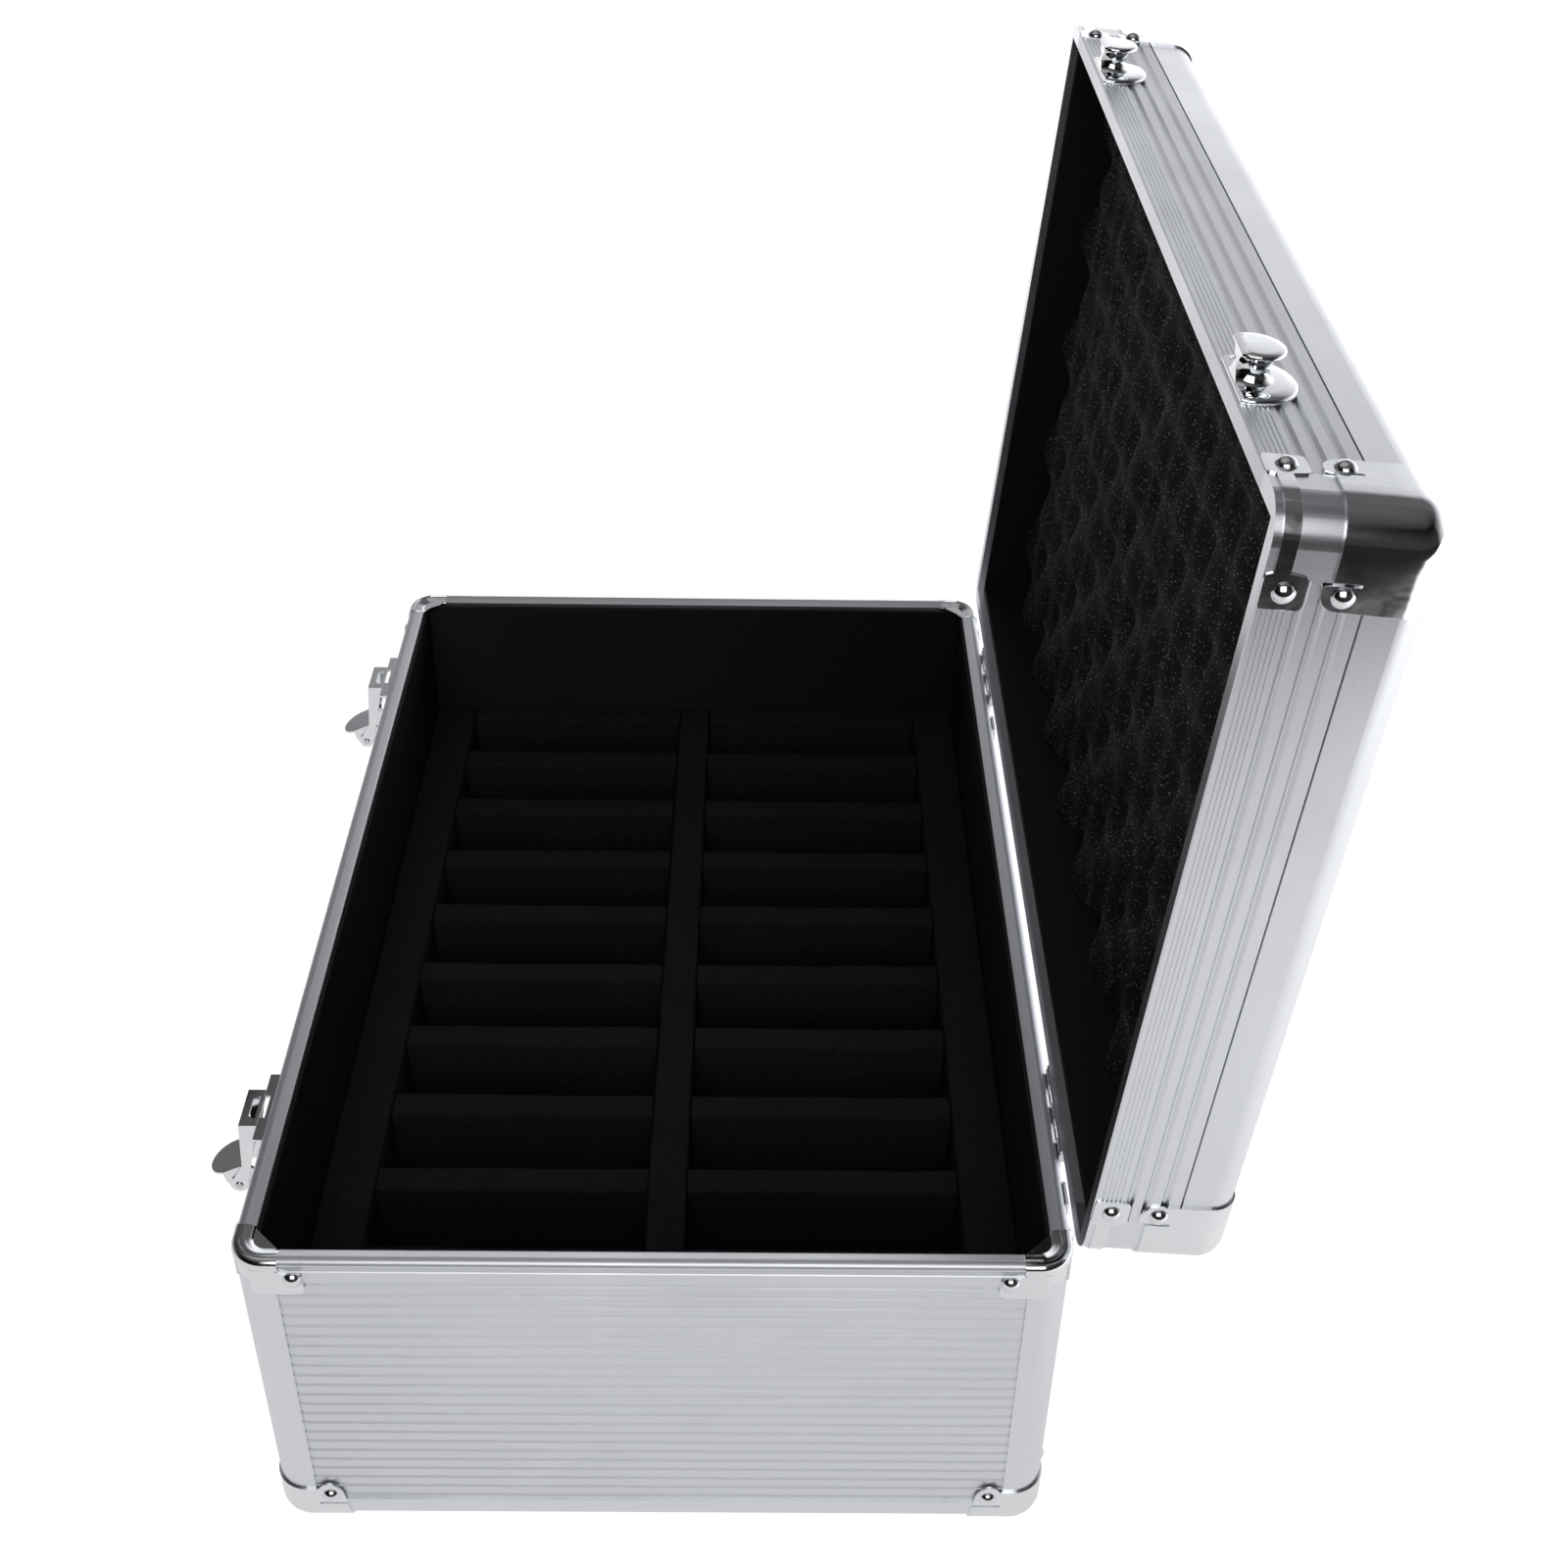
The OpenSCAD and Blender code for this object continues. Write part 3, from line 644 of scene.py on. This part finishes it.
CLAMP_ARM = 16  # where the rim caps end and the rim bars begin, from the case's end face
FLANGE_H = 9.6  # the rim's outer flange, down from its top
SKIN_IN = 0.8  # the ribbed skins' depth behind the flange
RIM_ROUND = 2.3  # the rim's outer edge


def rim_shoulder(side, top):
    """The rounded outer edge of a rim that stands side outside the case's face and top above RIM_TOP."""
    steps = 6
    turns = [math.pi / 2 * k / steps for k in range(steps + 1)]
    return [
        (RIM_ROUND * (1 - math.cos(turn)) - side, top - RIM_ROUND * (1 - math.sin(turn))) for turn in turns
    ]


# Outlines of the rim bars and of the caps over their corners: (depth, height) from the outer top edge.
RIM_SECTION = [
    (0.0, -FLANGE_H), (0.0, -4.9), (0.35, -4.6), (0.35, -2.9), (0.1, -2.5), *rim_shoulder(0.0, 0.0),
    (2.3, -0.4), (2.6, -0.4), (2.8, -0.05), (5.7, -0.85), (6.4, -1.3), (6.4, -3.0),
    (5.8, -3.0), (5.8, -1.6), (SKIN_IN, -1.6), (SKIN_IN, -FLANGE_H),
]
RIM_PROFILE = [
    (0.0, -4.3), (-0.55, -4.0), *rim_shoulder(0.6, 0.2), (2.1, 0.2), (2.35, -0.2), (2.75, -0.2), (2.95, 0.2),
    (4.0, 0.18), (4.3, -0.05), (4.7, -0.1), (6.6, -1.0), (6.9, -1.5), (6.8, -3.4), (5.9, -3.4),
    (5.7, -1.8), (0.6, -1.8),
]


def make_rims():
    """Four extruded rim bars between the corner caps."""
    sides = [("front_rim", RIM_X), ("right_rim", RIM_Y), ("back_rim", RIM_X), ("left_rim", RIM_Y)]
    for quarter, (node, metal) in enumerate(sides):
        along, reach = (CASE_L / 2, CASE_W / 2) if quarter % 2 == 0 else (CASE_W / 2, CASE_L / 2)
        half = along - CLAMP_ARM
        bm = bmesh.new()
        rings = []
        for x in (-half, half):
            rings.append([bm.verts.new((x, d - reach, RIM_TOP + h)) for d, h in RIM_SECTION])
        tube(bm, rings)
        moved(bm, Matrix.Rotation(math.pi / 2 * quarter, 4, "Z"))
        dress(finish_mesh(bm, node + "_bar", BASE), metal, "base", [node], "extrusion")


def base_clamp():
    """Cap over the rim's corner with the rim's ridges carried round, an inner web and two riveted tabs."""
    arms = both_arms(arc_columns() + [ARC_HALF, station(CLAMP_ARM)])
    cap = sweep_corner(arms, RIM_PROFILE)
    moved(cap, Matrix.Translation((0, 0, RIM_TOP)))
    web = loft(
        [(6.2, 6.2), (14.8, 6.2), (14.8, 6.9), (6.9, 14.8), (6.2, 14.8)],
        [(0.0, RIM_TOP - 1.9), (0.0, RIM_TOP - 1.15), (0.25, RIM_TOP - 0.95)],
    )
    low_end, tab_end, bend, drop = 2.2, 23.6, 3.0, 15.0
    start = station(CORNER_R) - 4.4
    xs = [start, start + 0.5, start + 1.2, start + 2.2, ARC_HALF]
    columns = xs + [station(x) for x in end_columns(12.0, tab_end, bend)]

    def low(s):
        cut = round_cut(low_end, low_end - (s - start))
        return RIM_TOP - drop + max(rounded_end(from_end(s), tab_end, bend), cut)

    def high(s):
        x = from_end(s)
        step = 1.6 if x > CLAMP_ARM + 0.2 else 0.0
        return RIM_TOP - 3.9 - step - 0.5 * rounded_end(x, tab_end, bend)

    tab = wall_sheet(columns, low, high, TAB_T, TAB_T)
    other = wall_sheet([-s for s in reversed(columns)], lambda s: low(-s), lambda s: high(-s), TAB_T, TAB_T)
    skirt = wall_sheet(arms, lambda s: RIM_TOP - FLANGE_H - 0.1, lambda s: RIM_TOP - 3.0, 0, CAP_T)
    return merged([cap, web, tab, other, skirt])


def lid_clamp():
    """Dog-bone strap round the lid's corner: a tab on each face and a narrow band between them."""
    band_low, band_high, tab_low, tab_high = 2.2, 6.6, 0.2, 11.6
    neck, end, bend = 18.2, 28.0, 1.8
    xs = [CORNER_R, 14.0, neck - 1.6, neck - 0.5, neck] + [
        neck + bend * (1 - math.cos(math.pi / 2 * k / 5)) for k in range(1, 6)
    ] + end_columns(neck + 2.4, end, bend)[1:]
    columns = both_arms(arc_columns() + [station(x) for x in xs])

    def cut(x):
        return max(round_cut(bend, neck + bend - x), rounded_end(x, end, bend))

    def low(s):
        x = from_end(s)
        return LID_LOW + (band_low if x < neck - 0.01 else tab_low + cut(x) * 0.35)

    def high(s):
        x = from_end(s)
        return LID_LOW + (band_high if x < neck - 0.01 else tab_high - cut(x))

    return wall_sheet(columns, low, high, TAB_T, TAB_T, 5)


RIVET_R = 3.15  # the rivet heads' radius
RIVET_H = 1.9  # and height


def rivet_head():
    """A dome on height 0, with a small straight edge."""
    steps = 7
    ball = (RIVET_R ** 2 + RIVET_H ** 2) / (2 * RIVET_H)
    radii = [RIVET_R * k / steps for k in range(steps + 1)]
    dome = [(r, math.sqrt(ball ** 2 - r ** 2) - ball + RIVET_H + 0.1) for r in radii]
    return lathe(dome + [(RIVET_R, -0.1), (0.0, -0.1)], 24)


def rivets(places):
    """Domed rivet heads at (distance from the edge, height, proud) on both faces of each corner."""
    swap = Matrix(((0, 1, 0, 0), (1, 0, 0, 0), (0, 0, 1, 0), (0, 0, 0, 1)))

    def at_corner():
        parts = []
        for along, height, proud in places:
            stand = Matrix.Translation((along, -proud, height)) @ Matrix.Rotation(math.pi / 2, 4, "X")
            parts.append(moved(rivet_head(), stand))
            parts.append(moved(rivet_head(), swap @ stand))
        return merged(parts)

    return four_corners(at_corner)


def make_corner_hardware():
    """Corner shells, rim caps, lid straps and rivets."""
    dress(
        finish_mesh(four_corners(base_ball), "base_corner_shells", BASE),
        CHROME, "base", ["base_ball_corners"], "corner_steel", 0.22,
    )
    lid_top = LID_LOW + LID_DEPTH + CAP_T
    dress(
        finish_mesh(four_corners(lambda: moved(lid_ball(), upside_down(lid_top))), "lid_corner_shells", LID),
        CHROME, "lid", ["lid_ball_corners"], "corner_steel", 0.22,
    )
    dress(
        finish_mesh(four_corners(base_clamp), "base_rim_caps", BASE),
        CHROME, "base", ["base_rim_clamps"], "corner_steel", 0.12,
    )
    dress(
        finish_mesh(four_corners(lid_clamp), "lid_rim_straps", LID),
        CHROME, "lid", ["lid_rim_clamps"], "corner_steel", 0.15,
    )
    base_places = [(20.3, RIM_TOP - 7.9, TAB_T), (19.3, 16.4, CAP_T)]
    dress(
        finish_mesh(rivets(base_places), "base_rivet_heads", BASE),
        RIVET, "base", ["base_rivets"], "rivet_steel",
    )
    lid_places = [(23, LID_LOW + 6, TAB_T), (23, LID_LOW + 21, CAP_T)]
    dress(
        finish_mesh(rivets(lid_places), "lid_rivet_heads", LID),
        RIVET, "lid", ["lid_rivets"], "rivet_steel",
    )


# ---------- strikes ----------

LATCH_X = 137
# The neck's (radius, height) points.
NECK = [
    (7.4, 1.5), (6.6, 2.0), (5.8, 3.0), (5.25, 4.2), (5.0, 5.6),
    (5.2, 7.0), (5.8, 8.3), (6.6, 9.3), (7.3, 9.9),
]


def strike():
    """Cast button: a disc cut straight at the rim, a waisted neck and a D-shaped head."""
    disc = loft(cut_circle(14.4, 4.6, 0.7), [(0, 0), (0, 0.9), (0.35, 1.35), (1.1, 1.65), (4.0, 1.9)])
    bm = bmesh.new()
    rings = []
    for radius, height in NECK:
        rings.append([bm.verts.new((x, y, height)) for x, y in cut_circle(radius, 5.4, 0.75, 40)])
    tube(bm, rings)
    head = loft(
        cut_circle(8.2, 5.4, 0.35),
        [(1.0, 9.5), (0.25, 9.7), (0, 10.0), (0, 10.6), (0.25, 10.95), (0.8, 11.15), (2.5, 11.25)],
    )
    return merged([disc, bm, head])


def make_strikes():
    """Two strike buttons on the lid's front frame, above the latches when the lid is shut."""
    parts = []
    for x in (-LATCH_X, LATCH_X):
        stand = Matrix.Translation((x, -CASE_W / 2, LID_LOW)) @ Matrix.Rotation(math.pi / 2, 4, "X")
        parts.append(moved(strike(), stand))
    dress(
        finish_mesh(merged(parts), "strike_buttons", LID),
        LATCH, "lid", ["strikes"], "latch_chrome", 0.15,
    )


# ---------- foam ----------


def soft_block(low, high, bend, step, waviness, seed):
    """A foam block with rounded edges, cut into a fine grid and very slightly uneven."""
    bm = bmesh.new()
    size = Vector(high) - Vector(low)
    bmesh.ops.create_cube(bm, size=1)
    for v in bm.verts:
        v.co = Vector(low) + Vector((size[i] * (v.co[i] + 0.5) for i in range(3)))
    bmesh.ops.bevel(bm, geom=list(bm.edges), offset=bend, segments=3, affect="EDGES", profile=0.5)
    for axis in range(3):
        count = max(1, round(size[axis] / step))
        for k in range(1, count):
            place = Vector(low)
            place[axis] += size[axis] * k / count
            way = Vector((0, 0, 0))
            way[axis] = 1
            bmesh.ops.bisect_plane(
                bm, geom=bm.verts[:] + bm.edges[:] + bm.faces[:], plane_co=place, plane_no=way
            )
    shift = Vector((seed * 7.3, seed * 3.1, seed * 5.7))
    middle = (Vector(low) + Vector(high)) / 2
    for v in bm.verts:
        wave = noise.noise_vector((v.co + shift) / 26)
        pull = (v.co - middle).normalized() * waviness * 0.5
        v.co += wave * waviness * 0.5 - pull
    return bm


def make_insert():
    """The foam insert: strips, floor pad and dividers as soft blocks just inside their CAD boxes."""
    bend = 1.1
    inset = 0.3
    for k, name in enumerate(("foam_front_strip", "foam_centre_strip", "foam_back_strip", "foam_floor_pad")):
        low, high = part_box(name)
        low = BASE.inverted() @ low
        high = BASE.inverted() @ high
        low = Vector((low.x + inset, low.y, low.z))
        high = Vector((high.x - inset, high.y, high.z))
        bm = soft_block(low, high, bend, 14, 0.7, k + 1)
        piece = dress(
            finish_mesh(bm, name.replace("foam_", "insert_"), BASE),
            INSERT_FOAM, "base", [name], "foam_insert",
        )
    parts = []
    for k, (low, high) in enumerate(divider_boxes()):
        parts.append(soft_block(low, high, bend, 12, 0.8, k + 10))
    piece = dress(
        finish_mesh(merged(parts), "insert_dividers", BASE),
        INSERT_FOAM, "base", ["foam_dividers"], "foam_insert",
    )


def divider_boxes():
    """The separate blocks of the dividers' CAD node, as boxes in the case's own axes."""
    mesh = frame["nodes"]["foam_dividers"].data
    bm = bmesh.new()
    bm.from_mesh(mesh)
    bmesh.ops.remove_doubles(bm, verts=bm.verts, dist=1e-6)
    bm.transform(BASE.inverted())
    todo = set(bm.verts)
    boxes = []
    while todo:
        group = [todo.pop()]
        waiting = list(group)
        while waiting:
            v = waiting.pop()
            near = [edge.other_vert(v) for edge in v.link_edges]
            fresh = [other for other in near if other in todo]
            todo.difference_update(fresh)
            group += fresh
            waiting += fresh
        low = Vector([min(v.co[i] for v in group) for i in range(3)])
        high = Vector([max(v.co[i] for v in group) for i in range(3)])
        boxes.append((low, high))
    bm.free()
    return sorted(boxes, key=lambda b: (round(b[0].y), b[0].x))


EGG_PITCH = 50.0  # from peak to peak along each side


def egg_wave(x, y):
    """The egg-crate's wave: 1 on a peak, -1 in a valley, 0 on the lattice between them."""
    return math.cos(2 * math.pi * x / EGG_PITCH) * math.cos(2 * math.pi * y / EGG_PITCH)


def make_eggcrate():
    """Convoluted foam: rounded peaks on a diamond lattice over a flat back."""
    inset = INNER + 0.6
    top, peak, valley = 37.4, 18.2, 27.0
    half_x, half_y = CASE_L / 2 - inset, CASE_W / 2 - inset
    step = 2.0
    count_x, count_y = round(2 * half_x / step), round(2 * half_y / step)
    bm = bmesh.new()
    rows = []
    for i in range(count_x + 1):
        x = -half_x + 2 * half_x * i / count_x
        row = []
        for j in range(count_y + 1):
            y = -half_y + 2 * half_y * j / count_y
            wave = egg_wave(x, y)
            share = (math.copysign(abs(wave) ** 0.85, wave) + 1) / 2
            soft = noise.noise(Vector((x, y, 0)) / 18) * 0.9
            height = valley + (peak - valley) * share + soft
            row.append(bm.verts.new((x, y, LID_LOW + height)))
        rows.append(row)
    grid_faces(bm, rows)
    thicken(bm, lambda v: Vector((0, 0, LID_LOW + top - v.co.z)))
    pad = finish_mesh(bm, "lid_eggcrate_foam", LID)
    # The crest attribute marks the foam's saddle lines, where its material paints a highlight.
    crest = pad.data.attributes.new("crest", "FLOAT", "POINT")
    crest_width = 0.13
    unplace = LID.inverted()
    for v in pad.data.vertices:
        drawn = unplace @ v.co
        crest.data[v.index].value = math.exp(-((egg_wave(drawn.x, drawn.y) / crest_width) ** 2))
    piece = dress(pad, EGG_FOAM, "lid", ["eggcrate_pad"], "eggcrate_foam")


# ---------- handle ----------


def make_handle():
    """The ribbed grip, turned about its own length."""
    box_low, box_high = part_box("handle_grip")
    length = (box_high.x - box_low.x) / MM
    middle = (box_low + box_high) / 2
    radius = (box_high.z - box_low.z) / 2 / MM
    profile = [(0.0, 0.0), (radius - 1.6, 0.0), (radius - 0.5, 0.4), (radius - 0.1, 1.4)]
    ribs = 9
    rib_start, rib_end = 20.0, length - 20.0
    for k in range(ribs + 1):
        z = rib_start + (rib_end - rib_start) * k / ribs
        profile += [(radius, z - 2.2), (radius - 0.55, z - 0.7), (radius - 0.55, z + 0.7), (radius, z + 2.2)]
    profile += [(radius - 0.1, length - 1.4), (radius - 0.5, length - 0.4), (radius - 1.6, length)]
    profile.append((0.0, length))
    bm = lathe(profile, 40)
    place = Matrix.Translation(middle) @ Matrix.Rotation(math.pi / 2, 4, "Y") @ Matrix.Scale(MM, 4)
    moved(bm, Matrix.Translation((0, 0, -length / 2)))
    dress(
        finish_mesh(bm, "handle_grip_moulding", place),
        PLASTIC, "handle", ["handle_grip"], "grip_plastic",
    )


# ---------- carried-over and softened CAD nodes ----------

# Materials of the CAD nodes that are shown as they are.
KEPT = {
    PLY: ["floor_board", "front_board", "back_board", "right_board", "left_board", "lid_top_board"],
    SHEET: ["bottom_skin"],
    SKIN_X: ["front_skin", "back_skin", "lid_top_skin"],
    SKIN_Y: ["right_skin", "left_skin"],
    METAL_X: ["front_bottom_trim", "back_bottom_trim"],
    FRAME_X: ["lid_front_frame", "lid_back_frame"],
    METAL_Y: ["right_bottom_trim", "left_bottom_trim"],
    LID_Y: ["lid_right_frame", "lid_left_frame", "lid_edge_trims"],
    METAL_Z: ["base_corner_posts"],
    LID_Z: ["lid_corner_posts"],
}

# CAD nodes shown as rounded copies: node, piece, body, material, slot and bevel in millimetres.
SOFTENED = [
    ("base_lining", "base_wall_lining", "base", EVA, "eva_lining", 0.5),
    ("lid_lining", "lid_wall_lining", "lid", EVA, "eva_lining", 0.5),
    ("hinge_base_leaves", "hinge_base_plates", "base", HINGE_STEEL, "hinge_steel", 0.12),
    ("hinge_lid_leaves", "hinge_lid_plates", "lid", HINGE_STEEL, "hinge_steel", 0.12),
    ("hinge_pins", "hinge_pin_rods", "base", PIN_STEEL, "pin_steel", 0.12),
    ("lid_stops", "lid_stop_brackets", "base", HINGE_STEEL, "hinge_steel", 0.25),
    ("lever_pins", "latch_axles", "base", PIN_STEEL, "pin_steel", 0.2),
    ("handle_brackets", "handle_feet", "lid", HINGE_STEEL, "handle_metal", 0.4),
    ("handle_bail", "handle_arms", "handle", HINGE_STEEL, "handle_metal", 0.4),
]
for hand in ("right", "left"):
    SOFTENED += [
        (f"latch_plate_{hand}", f"latch_base_{hand}", "base", LATCH, "latch_chrome", 0.2),
        (f"lever_{hand}", f"latch_lever_{hand}", f"lever_{hand}", LATCH, "latch_chrome", 0.2),
        (f"hasp_{hand}", f"latch_hasp_{hand}", f"hasp_{hand}", LATCH, "latch_chrome", 0.2),
        (f"hasp_pin_{hand}", f"latch_pin_{hand}", f"lever_{hand}", PIN_STEEL, "pin_steel", 0.25),
    ]


def dress_cad():
    """Gives the kept CAD nodes their materials and rounds copies of the softened ones."""
    for material, names in KEPT.items():
        for name in names:
            mesh = frame["nodes"][name].data
            mesh.materials.clear()
            mesh.materials.append(material)
    for node, name, body, material, slot, bevel in SOFTENED:
        softened(node, name, body, material, slot, bevel)


# ---------- stage ----------

# Brightness that reflections see: the floor near the case, the floor and backdrop far off, and overhead.
NEAR_GLOW = 0.73
FAR_GLOW = 1.3
OVERHEAD_GLOW = 0.12


def make_floor():
    """White paper. In reflections it is even near the case, brighter far off, dark behind the camera."""
    size = 8.0
    bm = bmesh.new()
    bmesh.ops.create_grid(bm, x_segments=2, y_segments=2, size=size)
    mesh = bpy.data.meshes.new("floor")
    bm.to_mesh(mesh)
    bm.free()
    floor = bpy.data.objects.new("floor", mesh)
    floor.location.z = -0.0003
    bpy.context.scene.collection.objects.link(floor)
    material, tree, shader = new_material("floor_paper")
    shader.inputs["Base Color"].default_value = (0.3, 0.3, 0.3, 1)
    shader.inputs["Roughness"].default_value = 0.9
    shader.inputs["Specular IOR Level"].default_value = 0.0
    shader.inputs["Emission Color"].default_value = (1, 1, 1, 1)
    shader.inputs["Emission Strength"].default_value = 0.97
    table = tree.nodes.new("ShaderNodeEmission")
    where = tree.nodes.new("ShaderNodeTexCoord")
    split = tree.nodes.new("ShaderNodeSeparateXYZ")
    link(tree, where.outputs["Object"], split.inputs["Vector"])
    reach = tree.nodes.new("ShaderNodeVectorMath")
    reach.operation = "LENGTH"
    link(tree, where.outputs["Object"], reach.inputs[0])
    glow = remap(tree, reach.outputs["Value"], NEAR_GLOW, FAR_GLOW, 0.7, 1.3)
    behind_camera = remap(tree, split.outputs["X"], 1, 0.01, 0.77, 0.82)
    latch_side = remap(tree, split.outputs["Y"], 0.4, 1, -1.2, -0.3)
    hinge_side = remap(tree, split.outputs["Y"], 1, 1.5, 0.15, 0.5)
    for share in (behind_camera, latch_side, hinge_side):
        glow = combine(tree, "MULTIPLY", glow, share)
    link(tree, glow, table.inputs["Strength"])
    path = tree.nodes.new("ShaderNodeLightPath")
    mix = tree.nodes.new("ShaderNodeMixShader")
    link(tree, path.outputs["Is Camera Ray"], mix.inputs["Fac"])
    link(tree, table.outputs["Emission"], mix.inputs[1])
    link(tree, shader.outputs["BSDF"], mix.inputs[2])
    link(tree, mix.outputs["Shader"], tree.nodes["Material Output"].inputs["Surface"])
    mesh.materials.append(material)


def make_world():
    """Plain white where seen; in reflections bright behind the case and dark on the camera's side."""
    world = bpy.data.worlds.new("studio")
    bpy.context.scene.world = world
    world.use_nodes = True
    tree = world.node_tree
    background = tree.nodes["Background"]
    where = tree.nodes.new("ShaderNodeTexCoord")
    split = tree.nodes.new("ShaderNodeSeparateXYZ")
    link(tree, where.outputs["Generated"], split.inputs["Vector"])
    glow = remap(tree, split.outputs["Z"], FAR_GLOW, OVERHEAD_GLOW, 0.2, 0.62)
    camera_side = remap(tree, split.outputs["X"], 1, 0.03, -0.3, 0.3)
    latch_side = remap(tree, split.outputs["Y"], 0.12, 1, -0.6, -0.1)
    for share in (camera_side, latch_side):
        glow = combine(tree, "MULTIPLY", glow, share)
    overhead = remap(tree, split.outputs["Z"], 0.0, OVERHEAD_GLOW, 0.6, 0.95)
    glow = combine(tree, "MAXIMUM", glow, overhead)
    path = tree.nodes.new("ShaderNodeLightPath")
    seen = tree.nodes.new("ShaderNodeMix")
    seen.data_type = "FLOAT"
    link(tree, path.outputs["Is Camera Ray"], seen.inputs["Factor"])
    link(tree, glow, seen.inputs["A"])
    seen.inputs["B"].default_value = 1.0
    link(tree, seen.outputs["Result"], background.inputs["Strength"])
    background.inputs["Color"].default_value = (0.98, 0.985, 1.0, 1)


def soft_light(name, place, target, size, power):
    """A rectangular area light at place, turned towards target."""
    data = bpy.data.lights.new(name, "AREA")
    data.shape = "RECTANGLE"
    data.size, data.size_y = size
    data.energy = power
    lamp = bpy.data.objects.new(name, data)
    lamp.location = place
    lamp.rotation_euler = (Vector(target) - Vector(place)).to_track_quat("-Z", "Y").to_euler()
    bpy.context.scene.collection.objects.link(lamp)


def make_lights():
    """One soft light on the camera's side and a weak one overhead."""
    aim = (0, 0, 0.15)
    soft_light("key", (1.15, 0.0, 1.05), aim, (1.0, 0.9), 6)
    soft_light("top", (-0.3, -0.2, 2.2), aim, (1.6, 1.6), 2)


def make_camera():
    """Looks down along the case from its right end."""
    pitch, yaw, roll = math.radians(36.13), math.radians(0.78), math.radians(1.0)
    forward = Vector((-math.cos(pitch) * math.cos(yaw), math.cos(pitch) * math.sin(yaw), -math.sin(pitch)))
    right = forward.cross(Vector((0, 0, 1))).normalized()
    up = right.cross(forward)
    tilted_right = right * math.cos(roll) + up * math.sin(roll)
    tilted_up = up * math.cos(roll) - right * math.sin(roll)
    data = bpy.data.cameras.new("camera")
    data.sensor_width = 36
    data.lens = 46.17
    data.clip_start = 0.01
    data.clip_end = 50
    camera = bpy.data.objects.new("camera", data)
    turn = Matrix((tilted_right, tilted_up, -forward)).transposed().to_4x4()
    camera.matrix_world = Matrix.Translation((0.637, CENTRE_Y + 0.0338, 0.6438)) @ turn
    bpy.context.scene.collection.objects.link(camera)
    bpy.context.scene.camera = camera


make_camera()
make_world()
make_floor()
make_lights()
bpy.context.scene.view_settings.view_transform = "Standard"

dress_cad()
make_rims()
make_corner_hardware()
make_strikes()
make_insert()
make_eggcrate()
make_handle()
